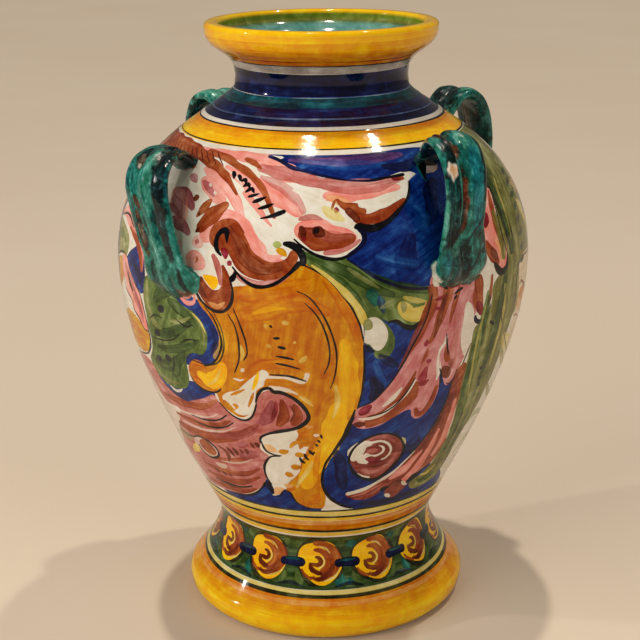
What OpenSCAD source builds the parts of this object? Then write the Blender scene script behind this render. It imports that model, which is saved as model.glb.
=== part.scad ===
// Painted pottery vase with a pedestal foot, a full belly, a flared collar and
// four pulled strap handles. Thrown in three pieces, luted together with slip.
// The vase stands on z = 0 around the Z axis, its painted front towards -Y.

/* [Foot] */
// Height of the pedestal foot, up to its seam with the body just above the waist
foot_h = 42.4; // [40:0.2:48]
// Radius of the foot at its rounded roll
foot_r = 62; // [56:1:70]
// Radius of the rounded roll that the vase stands on
foot_roll_r = 6.8; // [4:0.2:9]
// Width of the clay at the standing edge
foot_edge_w = 11; // [9:0.5:14]
// Thickness of the foot's wall at the waist
foot_wall = 7; // [5:0.5:10]

/* [Body] */
// Height of the narrow waist above the table
waist_z = 38; // [30:0.5:39]
// Radius of the narrow waist
waist_r = 47; // [42:0.5:54]
// Radius of the belly at its widest
belly_r = 86.5; // [78:0.5:96]
// Height of the belly's widest ring above the waist
belly_h = 115.7; // [100:1:130]
// Height of the shoulder's seam with the collar above the waist
body_h = 169.4; // [162:1:180]
// Radius of the shoulder at the seam with the collar
shoulder_r = 58.2; // [54:0.5:64]
// Slope of the shoulder at that seam, in degrees below level
shoulder_slope = 36; // [30:1:42]
// Thickness of the thrown wall of body and collar
wall = 6; // [4:0.5:8]
// Thickness of the body's floor
floor_t = 8; // [6:0.5:12]
// Radius of the corner between floor and wall inside
floor_corner_r = 12; // [6:1:18]

/* [Collar] */
// Height of the collar from its seam to the rim
collar_h = 42.6; // [36:0.5:52]
// Radius of the neck at its narrowest
neck_r = 35.4; // [32:0.5:40]
// Height of that narrow ring above the seam
neck_h = 21; // [18:0.5:26]
// Radius of the flared rim
rim_r = 47.8; // [42:0.5:54]
// Rounding of the lip's two edges
lip_round = 2; // [1:0.2:2.4]

/* [Handles] */
// Width of the pulled strap on its outer run
handle_w = 20; // [16:0.5:23]
// Thickness of the strap across its two ribs
handle_t = 5.6; // [4:0.2:7]
// Depth of the groove between the ribs
groove_d = 1.7; // [0.5:0.1:2.2]
// Drop of the upper seat below the collar's seam
upper_seat_drop = 4.8; // [4:0.2:8]
// Height of the lower seat above the belly's widest ring
lower_seat_rise = 8; // [3:0.5:14]
// Reach of the loop's outer run beyond the belly's widest ring
loop_reach = 4.4; // [3:0.2:8]
// Width of the thumbed end that is pressed on the belly
thumb_w = 24; // [20:0.5:28]
// Height of that thumbed end
thumb_h = 12.5; // [10:0.5:16]
// Front left handle: azimuths of its lower and upper end, lift of the lower end, rise of the crown
front_left_set = [-41.5, -50, -1.5, 5]; // [-180:0.5:180]
// Front right handle: azimuths of its lower and upper end, lift of the lower end, rise of the crown
front_right_set = [37, 38, 3, 8.8]; // [-180:0.5:180]
// Back left handle: azimuths of its lower and upper end, lift of the lower end, rise of the crown
back_left_set = [-142, -143, 0, 7.5]; // [-180:0.5:180]
// Back right handle: azimuths of its lower and upper end, lift of the lower end, rise of the crown
back_right_set = [130, 128.5, 0, 9.5]; // [-180:0.5:180]

/* [Slip] */
// Thickness of the layer of slip in each seam
slip_t = 0.8; // [0.4:0.1:1.6]
// Width of the slip that is pressed out round each handle's end
slip_margin = 0.8; // [0:0.1:2]

/* [Hidden] */
$fn = 96;

// Heights of the seams and of the rings that the outline turns at
body_z = foot_h + slip_t;
belly_z = waist_z + belly_h;
seam_z = waist_z + body_h;
collar_z = seam_z + slip_t;
neck_z = seam_z + neck_h;
rim_z = seam_z + collar_h;
floor_z = body_z + floor_t;
upper_seat_z = seam_z - upper_seat_drop;
lower_seat_z = belly_z + lower_seat_rise;

// Fullness of the curves, as shares of the height that each one spans
waist_pull = 0.054;
belly_pull_down = 0.415;
belly_pull_up = 0.53;
shoulder_pull = 0.3;
flare_pull = 0.5;
neck_pull_down = 0.34;
collar_foot_pull = 1.2;
neck_pull_up = 0.6;
rim_pull = 0.55;
roll_top_angle = 48;

curve_steps = 14;

function bezier(p, steps) = [for (i = [0:steps]) let (t = i / steps, s = 1 - t)
    s^3 * p[0] + 3 * s^2 * t * p[1] + 3 * s * t^2 * p[2] + t^3 * p[3]];
function arc(centre, r, from, to, steps) = [for (i = [0:steps])
    let (a = from + (to - from) * i / steps) centre + r * [cos(a), sin(a)]];
function unit(v) = v / norm(v);
function tail(list) = [for (i = [1:len(list) - 1]) list[i]];

// Outline of the whole vase as [radius, height], from the standing edge to the rim
roll_centre = [foot_r - foot_roll_r, foot_roll_r];
roll = arc(roll_centre, foot_roll_r, -90, roll_top_angle, 10);
roll_top = roll[len(roll) - 1];
flare = bezier([roll_top, roll_top,
                [waist_r, waist_z - flare_pull * (waist_z - roll_top[1])], [waist_r, waist_z]], curve_steps);
lower_belly = bezier([[waist_r, waist_z], [waist_r, waist_z + waist_pull * belly_h],
                      [belly_r, belly_z - belly_pull_down * belly_h], [belly_r, belly_z]], 2 * curve_steps);
shoulder_down = [cos(shoulder_slope), -sin(shoulder_slope)];
shoulder_h = seam_z - belly_z;
shoulder = bezier([[belly_r, belly_z], [belly_r, belly_z + belly_pull_up * shoulder_h],
                   [shoulder_r, seam_z] + shoulder_pull * shoulder_h * shoulder_down,
                   [shoulder_r, seam_z]], curve_steps);
cove = bezier([[shoulder_r, seam_z], [shoulder_r, seam_z] - collar_foot_pull * neck_h * shoulder_down,
               [neck_r, neck_z - neck_pull_down * neck_h], [neck_r, neck_z]], curve_steps);
rim_h = rim_z - lip_round - neck_z;
rim_flare = bezier([[neck_r, neck_z], [neck_r, neck_z + neck_pull_up * rim_h],
                    [rim_r, rim_z - lip_round - rim_pull * rim_h], [rim_r, rim_z - lip_round]], curve_steps);
outline = concat(roll, tail(flare), tail(lower_belly), tail(shoulder), tail(cove), tail(rim_flare));

// The wall's inner side: each point of the outline moved square to it by the wall
function inward(curve, t) = [for (i = [0:len(curve) - 1])
    let (a = curve[max(i - 1, 0)], b = curve[min(i + 1, len(curve) - 1)], d = unit(b - a))
    curve[i] + t * [-d[1], d[0]]];
inner_outline = inward(concat(lower_belly, tail(shoulder), tail(cove), tail(rim_flare)), wall);

// Radius of a curve at height z, and the stretch of a curve between two heights
function radius_at(curve, z) = lookup(z, [for (p = curve) [p[1], p[0]]]);
function stretch(curve, z0, z1) = concat([[radius_at(curve, z0), z0]],
    [for (p = curve) if (p[1] > z0 + 0.05 && p[1] < z1 - 0.05) p],
    [[radius_at(curve, z1), z1]]);
function reversed(list) = [for (i = [len(list) - 1:-1:0]) list[i]];

// Direction square to the body at height z, in [radius, height]
function body_normal(z) = unit([1, (radius_at(outline, z - 1) - radius_at(outline, z + 1)) / 2]);
function body_seat(z) = [radius_at(outline, z), z] + slip_t * body_normal(z);

module turned(section) {
    rotate_extrude() polygon(section);
}

// Inside of the foot: straight up from the standing edge, then in to the seam
foot_top_r = waist_r - foot_wall;
foot_inner = bezier([[foot_r - foot_edge_w, foot_roll_r], [foot_r - foot_edge_w, foot_h / 2],
                     [foot_top_r, foot_h / 2], [foot_top_r, foot_h]], curve_steps);

module foot() {
    color("goldenrod")
    turned(concat([[foot_r - foot_edge_w, 0]], roll, tail(stretch(outline, roll_top[1], foot_h)),
                  reversed(foot_inner)));
}

module foot_slip_joint() {
    color("tan")
    turned(concat([[foot_top_r, foot_h]], stretch(outline, foot_h, body_z), [[foot_top_r, body_z]]));
}

module body() {
    corner_z = floor_z + floor_corner_r;
    corner_r = radius_at(inner_outline, corner_z);
    color("royalblue")
    turned(concat([[0, floor_z], [0, body_z]],
                  stretch(outline, body_z, seam_z),
                  reversed(stretch(inner_outline, corner_z, seam_z)),
                  tail(arc([corner_r - floor_corner_r, corner_z], floor_corner_r, 0, -90, 8))));
}

module collar_slip_joint() {
    color("tan")
    turned(concat(stretch(outline, seam_z, collar_z), reversed(stretch(inner_outline, seam_z, collar_z))));
}

module collar() {
    lip_z = rim_z - lip_round;
    lip_inner_r = radius_at(inner_outline, lip_z);
    color("navy")
    turned(concat(stretch(outline, collar_z, lip_z),
                  tail(arc([rim_r - lip_round, lip_z], lip_round, 0, 90, 6)),
                  arc([lip_inner_r + lip_round, lip_z], lip_round, 90, 180, 6),
                  tail(reversed(stretch(inner_outline, collar_z, lip_z)))));
}

// Centre line of a strap as [radius, height]: square out of the shoulder, over
// the crown, down outside the belly and in to the thumbed end
upper_seat = body_seat(upper_seat_z);
run_r = belly_r + loop_reach;
crown_share = 0.45;
run_drop = 13;
function strap_line(lower_z, rise) = let (
    leave = crown_share * (run_r - upper_seat[0]),
    crown = upper_seat + [leave, rise],
    run = [run_r, upper_seat_z - run_drop],
    lower_seat = body_seat(lower_z))
    concat(
        bezier([upper_seat, upper_seat + 0.45 * leave * body_normal(upper_seat_z),
                crown - [0.4 * leave, 0], crown], 8),
        tail(bezier([crown, crown + [0.62 * (run_r - crown[0]), 0],
                     run + [0, 0.55 * (crown[1] - run[1])], run], 10)),
        tail(bezier([run, run - [0, 0.5 * (run[1] - lower_z)],
                     lower_seat + [thumb_h / 3, thumb_h / 2], lower_seat], 12)));

// One ring of the strap: two ribs side by side, with a groove on the outer face
ring_points = 24;
end_share = 0.16;
upper_end_h = 6.2;
upper_end_share = 0.86;
function smooth(x) = let (c = min(max(x, 0), 1)) c * c * (3 - 2 * c);
function rib_ring(w, t, groove) = [for (i = [0:ring_points - 1])
    let (a = 360 * i / ring_points, u = cos(a), s = sin(a))
    [w / 2 * u, t / 2 * sign(s) * pow(abs(s), 0.75) - (s > 0 ? 1 : 0) * groove * exp(-pow(u / 0.3, 2))]];

// A point of the plane [radius, height] turned to an azimuth from the front
function around(p, az) = [p[0] * sin(az), -p[0] * cos(az), p[1]];

module strap(set) {
    lower_z = lower_seat_z + set[2];
    line = strap_line(lower_z, set[3]);
    last = len(line) - 1;
    n = ring_points;
    upper_lie = [-body_normal(upper_seat_z)[1], body_normal(upper_seat_z)[0]];
    lower_lie = [body_normal(lower_z)[1], -body_normal(lower_z)[0]];
    points = [for (i = [0:last]) let (
        s = i / last,
        az = set[1] + (set[0] - set[1]) * smooth(s),
        along = unit(line[min(i + 1, last)] - line[max(i - 1, 0)]),
        top = 1 - smooth(s / end_share),
        low = smooth((s - 1 + end_share) / end_share),
        lie = unit(top * upper_lie + low * lower_lie + (1 - top - low) * [-along[1], along[0]]),
        w = handle_w * (upper_end_share + (1 - upper_end_share) * smooth(2.5 * s)) + low * (thumb_w - handle_w),
        t = handle_t + top * (upper_end_h - handle_t) + low * (thumb_h - handle_t))
        each [for (q = rib_ring(w, t, groove_d * (1 - top) * (1 - 0.5 * low)))
            around(line[i] + q[1] * lie, az) + q[0] * [cos(az), sin(az), 0]]];
    sides = [for (i = [0:last - 1], j = [0:n - 1])
        [i * n + j, (i + 1) * n + j, (i + 1) * n + (j + 1) % n, i * n + (j + 1) % n]];
    caps = [[for (j = [0:n - 1]) j], [for (j = [n - 1:-1:0]) last * n + j]];
    color("teal") polyhedron(points = points, faces = concat(sides, caps), convexity = 6);
}

module handle_front_left() { strap(front_left_set); }
module handle_front_right() { strap(front_right_set); }
module handle_back_left() { strap(back_left_set); }
module handle_back_right() { strap(back_right_set); }

// Slip under the handles' ends: a rounded pad from the strap's flat end down to
// the curved clay of the body
pad_sag = 2.4;
module slip_pad(z, end_w, end_h, az) {
    n = body_normal(z);
    seat = body_seat(z);
    w = end_w + 2 * slip_margin;
    h = end_h + 2 * slip_margin;
    rotate([0, 0, az]) translate([0, -seat[0], seat[1]]) rotate([atan2(n[0], n[1]), 0, 0])
    translate([0, 0, -slip_t - pad_sag]) linear_extrude(slip_t + pad_sag) {
        for (side = [-1, 1]) translate([side * (w - h) / 2, 0]) circle(d = h);
        translate([-(w - h) / 2, -h / 2]) square([w - h, h]);
    }
}
module body_outside() {
    turned(concat([[0, body_z]], stretch(outline, body_z, seam_z), [[0, seam_z]]));
}
handle_sets = [front_left_set, front_right_set, back_left_set, back_right_set];

module handle_upper_slip_pads() {
    color("tan") difference() {
        for (set = handle_sets)
            slip_pad(upper_seat_z, upper_end_share * handle_w, upper_end_h, set[1]);
        body_outside($fn = 360);
    }
}

module handle_lower_slip_pads() {
    color("tan") difference() {
        for (set = handle_sets) slip_pad(lower_seat_z + set[2], thumb_w, thumb_h, set[0]);
        body_outside($fn = 360);
    }
}

foot();
foot_slip_joint();
body();
collar_slip_joint();
collar();
handle_front_left();
handle_front_right();
handle_back_left();
handle_back_right();
handle_upper_slip_pads();
handle_lower_slip_pads();
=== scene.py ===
import math
import re

import bpy
import numpy as np
from mathutils import Matrix, Vector
from mathutils.geometry import delaunay_2d_cdt


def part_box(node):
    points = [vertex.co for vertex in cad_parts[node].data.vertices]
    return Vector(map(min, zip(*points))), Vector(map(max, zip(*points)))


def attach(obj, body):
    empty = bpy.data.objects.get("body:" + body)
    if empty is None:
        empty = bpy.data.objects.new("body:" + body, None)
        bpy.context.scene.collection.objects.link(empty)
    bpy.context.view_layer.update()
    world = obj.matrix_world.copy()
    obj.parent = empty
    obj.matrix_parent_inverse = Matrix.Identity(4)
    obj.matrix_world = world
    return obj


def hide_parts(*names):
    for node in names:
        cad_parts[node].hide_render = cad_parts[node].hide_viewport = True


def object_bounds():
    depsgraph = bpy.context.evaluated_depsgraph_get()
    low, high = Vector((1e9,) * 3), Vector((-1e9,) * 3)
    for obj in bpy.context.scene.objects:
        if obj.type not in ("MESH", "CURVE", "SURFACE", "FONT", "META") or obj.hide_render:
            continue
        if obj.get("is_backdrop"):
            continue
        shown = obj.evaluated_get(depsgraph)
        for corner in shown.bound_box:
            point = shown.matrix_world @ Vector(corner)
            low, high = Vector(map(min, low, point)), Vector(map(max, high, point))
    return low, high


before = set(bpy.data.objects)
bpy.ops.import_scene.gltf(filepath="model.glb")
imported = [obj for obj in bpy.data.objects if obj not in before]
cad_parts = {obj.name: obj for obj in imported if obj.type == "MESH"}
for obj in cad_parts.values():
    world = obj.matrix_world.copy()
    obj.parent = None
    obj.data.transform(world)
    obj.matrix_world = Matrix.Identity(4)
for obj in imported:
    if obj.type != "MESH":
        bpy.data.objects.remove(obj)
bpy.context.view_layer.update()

# ----------------------------------------------------------------------
# Foot. A spreading ring of earthenware, thrown upside down and luted under the
# body with slip. Its rolled edge is yellow, and a row of gold beads threaded
# on green runs round the waist above it. The standing edge is bare clay.
MM = 0.001
COLUMNS = 180  # grid points round a thrown wall
waist_z, waist_r = 38.0, 47.0
foot_roll_r = 6.8
foot_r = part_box("foot")[1][0] / MM
foot_top_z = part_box("foot_slip_joint")[1][2] / MM
foot_wall, foot_edge_w = 7.0, 11.0
belly_z, belly_r = 153.7, 86.5
belly_h = belly_z - waist_z


def bezier(a, b, c, d, steps=60):
    """Cubic curve from a to d that leaves towards b and arrives from c."""
    t = np.linspace(0, 1, steps)[:, None]
    a, b, c, d = (np.asarray(p, float) for p in (a, b, c, d))
    return (1 - t) ** 3 * a + 3 * (1 - t) ** 2 * t * b + 3 * (1 - t) * t * t * c + t ** 3 * d


def arc(centre, radius, start, end, steps=20):
    """Round stretch about a centre, between two angles in degrees."""
    a = np.radians(np.linspace(start, end, steps))
    return np.array(centre, float) + radius * np.stack([np.cos(a), np.sin(a)], -1)


def joined(*curves):
    """Curves set end to end, without the points that two of them share."""
    points = np.vstack(curves)
    keep = np.r_[True, np.linalg.norm(np.diff(points, axis=0), axis=1) > 1e-6]
    return points[keep]


def lengths(points):
    """Length along a curve at each of its points."""
    return np.r_[0, np.cumsum(np.linalg.norm(np.diff(points, axis=0), axis=1))]


def unit(v):
    """Vectors of the same directions and a length of one."""
    return v / np.linalg.norm(v, axis=-1, keepdims=True)


def around(turn, radius, z):
    """A point at a radius and height, turned from the front to the right."""
    return np.stack(np.broadcast_arrays(radius * np.sin(turn), -radius * np.cos(turn), z), -1)


INSET = 0.35  # keeps the uneven wall within the true one


def hand(turn, z):
    """What the potter's hands leave: fine throwing rings, a wall a little out
    of round, and three soft ridges where the collar's slope was turned."""
    rings = 0.06 * np.sin(z / 1.9 + 0.8 * np.sin(turn) + 0.6 * np.sin(z / 17))
    round_off = 0.2 * np.cos(2 * turn + z / 70) + 0.1 * np.cos(3 * turn - z / 45)
    ridges = sum(depth * np.exp(-((z - at) / width) ** 2)
                 for at, width, depth in ((213.2, 0.8, 0.3), (217.2, 0.7, 0.3), (219.9, 0.8, 0.3)))
    return rings + round_off * np.clip(z / 30, 0, 1) + ridges - INSET


class Wall:
    """The outer face of one thrown piece. Up is the length along its outline,
    and rise the sum of d_up / radius: turn and rise together make a flat map
    of the wall that keeps every shape true."""

    def __init__(self, outline, zero_z, low_z, high_z):
        self.outline = outline
        length = lengths(outline)
        self.length = length - np.interp(zero_z, outline[:, 1], length)
        self.up = np.linspace(self.up_at(low_z), self.up_at(high_z), 3000)
        radius = self.point(self.up)[0]
        step = np.diff(self.up) / (0.5 * (radius[1:] + radius[:-1]))
        self.rise = np.r_[0, np.cumsum(step)]

    def up_at(self, z):
        """Length up the wall at a height."""
        return np.interp(z, self.outline[:, 1], self.length)

    def point(self, up):
        """Radius and height at a length up the wall."""
        return (np.interp(up, self.length, self.outline[:, 0]),
                np.interp(up, self.length, self.outline[:, 1]))

    def size_at(self, flat):
        """Radius at places of the flat map: millimetres to one unit of it."""
        return self.point(np.interp(flat[..., 1], self.rise, self.up))[0]

    def surface(self, turn, up):
        """The wall in space, with the unevenness of the hand."""
        radius, z = self.point(up)
        return around(turn, radius + hand(turn, z), z)

    def normal(self, turn, up, step=0.2):
        """Square to the wall: the cross product of its two slopes."""
        across = self.surface(turn + 0.004, up) - self.surface(turn - 0.004, up)
        along = self.surface(turn, up + step) - self.surface(turn, up - step)
        return unit(np.cross(across, along))

    def plan(self, flat):
        """Flat map of (turn, rise) rolled out round a centre: radius e^rise."""
        reach = np.exp(flat[..., 1])
        return np.stack([reach * np.cos(flat[..., 0]), reach * np.sin(flat[..., 0])], -1)

    def unplan(self, xy):
        """Turn and rise of a point of the plan."""
        x, y = xy[..., 0], xy[..., 1]
        return np.stack([np.arctan2(y, x), np.log(np.hypot(x, y))], -1)


GLAZE = np.array([0.78, 0.72, 0.61])


def screen(*rgb):
    """Linear colour of a screen colour."""
    c = np.array(rgb) / 255
    return np.where(c < 0.04045, c / 12.92, ((c + 0.055) / 1.055) ** 2.4)


STAINS = {name: screen(*rgb) for name, rgb in dict(
    cobalt=(8, 42, 116), navy=(10, 14, 54), azure=(30, 88, 160), sky=(140, 160, 180), teal=(6, 104, 98),
    ochre=(202, 127, 3), orange=(206, 112, 4), yellow=(246, 192, 4), straw=(226, 204, 110),
    peach=(232, 176, 116), pink=(238, 158, 146), blush=(208, 136, 136), rose=(194, 119, 112),
    mauve=(156, 76, 84), rust=(152, 68, 30), brown=(104, 42, 22), crimson=(128, 22, 38),
    green=(60, 82, 38), leaf=(98, 118, 58), olive=(124, 122, 58), sage=(146, 148, 92), lime=(120, 140, 40),
    sea=(96, 150, 140), moss=(48, 48, 20), black=(14, 13, 18), bare=(232, 226, 212)).items()}


MARGIN = 0.0004  # how far, in the flat map, a stroke stays off a wall's edges
APART = 0.37     # step in the noise from one stroke's grain to the next one's


class Stroke:
    """One stroke of the brush: closed edges in the wall's flat map, its stain,
    how well it covers, and the line that the brush followed, if it had one."""

    def __init__(self, wall, edges, stain, cover, line=None, half=None, grain=0.0):
        edges = [np.stack([edge[:, 0], np.clip(edge[:, 1], MARGIN, wall.rise[-1] - MARGIN)], -1)
                 for edge in edges]
        self.loops = [wall.plan(edge) for edge in edges]
        self.wall, self.edges, self.stain, self.cover = wall, edges, stain, cover
        self.line, self.half, self.grain = line, half, grain

    def covers(self, xy):
        """Which points of the plan the stroke covers, by winding number."""
        inside = np.zeros(len(xy), int)
        for loop in self.loops:
            low, high = loop.min(0), loop.max(0)
            near = np.where(((xy > low) & (xy < high)).all(1))[0]
            p, a, b = xy[near, None], loop[None], np.roll(loop, -1, 0)[None]
            side = (b[..., 0] - a[..., 0]) * (p[..., 1] - a[..., 1]) \
                - (p[..., 0] - a[..., 0]) * (b[..., 1] - a[..., 1])
            rising = (a[..., 1] <= p[..., 1]) & (b[..., 1] > p[..., 1]) & (side > 0)
            falling = (a[..., 1] > p[..., 1]) & (b[..., 1] <= p[..., 1]) & (side < 0)
            inside[near] += rising.sum(1) - falling.sum(1)
        return np.where(inside != 0)[0]

    def grain_at(self, xy):
        """Millimetres along and across the brush, and nearness to the edge (1
        on it, 0 in the middle), at points of the plan."""
        flat = self.wall.unplan(xy)
        if self.line is None:
            origin = self.edges[0][0]
            turn = (flat[..., 0] - origin[0] + math.pi) % (2 * math.pi) - math.pi
            size = self.wall.size_at(flat)
            x, y = turn * size, (flat[..., 1] - origin[1]) * size
            c, s = math.cos(self.grain), math.sin(self.grain)
            on_edge = np.zeros(len(xy))
            for loop in self.loops:
                gap = np.abs(xy[:, None] - loop[None]).sum(-1).min(1)
                on_edge = np.maximum(on_edge, gap < 1e-4)
            return x * c + y * s, y * c - x * s, on_edge
        middle = self.wall.plan(self.line)
        gap = xy[:, None] - middle[None]
        best = (gap ** 2).sum(-1).argmin(1)
        ahead = unit(middle[np.minimum(best + 1, len(middle) - 1)] - middle[np.maximum(best - 1, 0)])
        off = gap[np.arange(len(xy)), best]
        size = self.wall.size_at(self.line[best])
        across = (off[:, 1] * ahead[:, 0] - off[:, 0] * ahead[:, 1]) \
            / np.linalg.norm(middle[best], axis=1) * size
        share = best / (len(middle) - 1)
        length = np.linalg.norm(np.diff(self.line, axis=0), axis=1).sum() * size.mean()
        return share * length, across, np.clip(across / self.half[best], -1, 1)


class Painter:
    """Lays strokes on a wall. Places are written as "azimuth,up" pairs: degrees
    to the right of the front, and millimetres up the wall from its zero. While
    a middle is set, they are millimetres to the right of it and above it."""

    def __init__(self, wall, seed):
        self.wall, self.strokes = wall, []
        self.luck = np.random.default_rng(seed)
        self.turned, self.middle = 0.0, None

    def place(self, path):
        """Flat map places of a written path, turned and swayed for a repeat."""
        p = np.array([pair.split(",") for pair in path.split()], float)
        if self.middle:
            degrees = math.degrees(1 / self.wall.point(self.middle[1])[0])
            p = np.round(np.array(self.middle) + p * (degrees, 1), 3)
        if self.turned:
            p = np.stack([p[:, 0] + self.turned + 1.3 * np.sin(p[:, 1] / 23 + 1),
                          p[:, 1] + 1.2 * np.sin(np.radians(p[:, 0] * 5))], -1)
        return np.stack([np.radians(p[:, 0]), np.interp(p[:, 1], self.wall.up, self.wall.rise)], -1)

    def curve(self, path, spacing, closed=False):
        """Smooth curve through the places; one that is given twice is a corner."""
        p = self.place(path)
        corners = np.where((np.abs(np.diff(p, axis=0)) < 1e-9).all(1))[0]
        if closed and len(corners):
            p = np.vstack([p[corners[0] + 1:], p[:corners[0] + 1]])
            corners = np.where((np.abs(np.diff(p, axis=0)) < 1e-9).all(1))[0]
        if closed and not len(corners) and np.abs(p[0] - p[-1]).max() > 1e-9:
            return self.through(np.vstack([p[-1:], p, p[:2]]), spacing)[:-1]
        runs = [run for run in np.split(p, corners + 1) if len(run) > 1]
        ghosts = [np.vstack([2 * run[0] - run[1], run, 2 * run[-1] - run[-2]]) for run in runs]
        line = joined(*(self.through(ghost, spacing) for ghost in ghosts))
        return line[:-1] if closed else line

    def through(self, p, spacing):
        """Catmull-Rom curve through all but the first and last of some places."""
        out = []
        for p0, p1, p2, p3 in zip(p, p[1:], p[2:], p[3:]):
            span = np.linalg.norm(p2 - p1) * self.wall.size_at(p1)
            t = np.linspace(0, 1, max(2, int(span / spacing) + 1), endpoint=False)[:, None]
            out.append(0.5 * (2 * p1 + (p2 - p0) * t + (2 * p0 - 5 * p1 + 4 * p2 - p3) * t * t
                              + (3 * p1 - p0 - 3 * p2 + p3) * t ** 3))
        return np.vstack(out + [p[-2:-1]])

    def brush(self, stain, path, width, cover=0.9):
        """A stroke along a line. Width is in millimetres at evenly spaced
        shares of it, or one number for a stroke that tapers to both ends."""
        taper = np.array([0.45, 1, 0.9, 0.3])
        widths = np.atleast_1d(width) * (taper if np.isscalar(width) else 1.0)
        fine = self.curve(path, 0.6)
        gaps = np.linalg.norm(np.diff(fine, axis=0), axis=1) * self.wall.size_at(fine)[1:]
        far = np.r_[0, np.cumsum(gaps)]
        length = far[-1]
        spacing = min(max(0.45 * widths.max(), 0.7), 1.8)
        tips = np.outer(widths[[0, -1]] / 2, (0.06, 0.25, 0.6))
        run = np.r_[np.linspace(0, length, max(5, int(length / spacing) + 2)), tips[0], length - tips[1]]
        run = np.unique(np.round(np.clip(run, 0, length), 3))
        line = np.stack([np.interp(run, far, fine[:, k]) for k in (0, 1)], -1)
        size = self.wall.size_at(line)
        half = np.interp(run / length, np.linspace(0, 1, len(widths)), widths) / 2
        half *= 1 + 0.09 * np.sin(run / 1.7 + self.luck.uniform(0, 6))
        tip = np.minimum(run, length - run) / np.maximum(half, 0.05)
        half = np.maximum(half * np.sqrt(np.clip(1 - (1 - np.minimum(tip, 1)) ** 2, 0, 1)), 0.02)
        ahead = unit(np.gradient(line, axis=0))
        off = np.stack([-ahead[:, 1], ahead[:, 0]], -1) * (half / size)[:, None]
        edge = np.vstack([line + off, (line - off)[::-1]])
        self.strokes.append(Stroke(self.wall, [edge], STAINS[stain], cover, line, half))

    def patch(self, stain, path, cover=0.92, grain=0.0):
        """A filled shape inside a closed outline, brushed along the grain."""
        edge = self.curve(path, 1.5, closed=True)
        self.strokes.append(Stroke(self.wall, [edge], STAINS[stain], cover, grain=math.radians(grain)))

    def line(self, path, width=0.8, stain="black"):
        """A thin outline drawn with the point of the brush."""
        self.brush(stain, path, np.array([0.5, 1, 1, 0.6]) * width, 0.94)

    def follow(self, notes):
        """Paints from written notes, one for each stroke: its stain, its width
        or widths joined by commas, its cover and its places. A "line" is a thin
        black outline: width, places. A "patch": stain, cover, grain, places."""
        for words, rest in re.findall(r"([a-z]+(?: [a-z]+)?) ([^a-z]+)", notes):
            kind, *stain = words.split()
            first, *rest = rest.split()
            if kind == "line":
                self.line(" ".join(rest), float(first))
            elif kind == "patch":
                self.patch(*stain, " ".join(rest[1:]), float(first), float(rest[0]))
            else:
                width = [float(number) for number in first.split(",")]
                width = width if len(width) > 1 else width[0]
                self.brush(kind, " ".join(rest[1:]), width, float(rest[0]))

    def dab(self, stain, place, width, height, cover=0.9, tilt=0.0):
        """A touch of the brush: an oval, turned by a tilt in degrees."""
        centre = self.place(place)[0]
        size = self.wall.size_at(centre)
        a = np.linspace(0, 2 * math.pi, max(14, int(1.4 * (width + height))), endpoint=False)
        x = width / 2 * np.cos(a) * (1 + 0.08 * np.sin(2 * a + self.luck.uniform(0, 6)))
        y = height / 2 * np.sin(a) * (1 + 0.08 * np.sin(3 * a + self.luck.uniform(0, 6)))
        c, s = math.cos(math.radians(tilt)), math.sin(math.radians(tilt))
        edge = centre + np.stack([x * c - y * s, x * s + y * c], -1) / size
        self.strokes.append(Stroke(self.wall, [edge], STAINS[stain], cover))

    def band(self, stain, low, high, wobble=0.12, cover=0.93):
        """A ring turned on the wheel between two lengths up the wall."""
        turn = np.radians(np.arange(0, 360, 2))
        rings = []
        for up, way in ((high, 1), (low, -1)):
            start = self.luck.uniform(0, 6, 3)
            sway = wobble * (np.sin(turn + start[0]) + 0.5 * np.sin(3 * turn + start[1])
                             + 0.4 * np.sin(8 * turn + start[2]))
            flat = np.stack([turn, np.interp(up + sway, self.wall.up, self.wall.rise)], -1)
            rings.append(flat[::way])
        self.strokes.append(Stroke(self.wall, rings, STAINS[stain], cover))

    def cut(self, row):
        """Cuts the wall's outer face, a grid of rows, along every stroke.
        Returns points of the plan, their turn and rise, and the triangles."""
        wall = self.wall
        turns = np.radians(np.arange(COLUMNS) * 360 / COLUMNS - 180)
        rows = int(round((wall.up[-1] - wall.up[0]) / row)) + 1
        rises = np.interp(np.linspace(wall.up[0], wall.up[-1], rows), wall.up, wall.rise)
        grid = wall.plan(np.stack(np.meshgrid(turns, rises), -1)).reshape(-1, 2)
        ids = np.arange(len(grid)).reshape(rows, COLUMNS)
        rings = np.vstack([np.stack([r, np.roll(r, -1)], -1) for r in (ids[0], ids[-1])])
        seam = np.stack([ids[:-1, 0], ids[1:, 0]], -1)
        points, edges, count = [grid], [rings, seam], len(grid)
        for loop in (loop for stroke in self.strokes for loop in stroke.loops):
            i = np.arange(len(loop)) + count
            points.append(loop)
            edges.append(np.stack([i, np.roll(i, -1)], -1))
            count += len(loop)
        made = delaunay_2d_cdt([Vector(p) for p in np.vstack(points).tolist()],
                               np.vstack(edges).tolist(), [], 0, 1e-6, False)
        xy, tris = np.array([tuple(p) for p in made[0]]), np.array(made[2])
        flat, top, step = wall.unplan(xy), wall.rise[-1], 2 * math.pi / COLUMNS
        low, high = np.abs(flat[:, 1]) < 2e-5, np.abs(flat[:, 1] - top) < 2e-5
        flat[low, 1], flat[high, 1] = 0, top
        for ring in (low, high):
            flat[ring, 0] = np.round((flat[ring, 0] + math.pi) / step) * step - math.pi
        a, b, c = (xy[tris[:, k]] for k in range(3))
        area = (b[:, 0] - a[:, 0]) * (c[:, 1] - a[:, 1]) - (c[:, 0] - a[:, 0]) * (b[:, 1] - a[:, 1])
        return xy, flat, tris[(~low[tris].all(1)) & (np.abs(area) > 1e-12)][:, ::-1]

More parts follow.
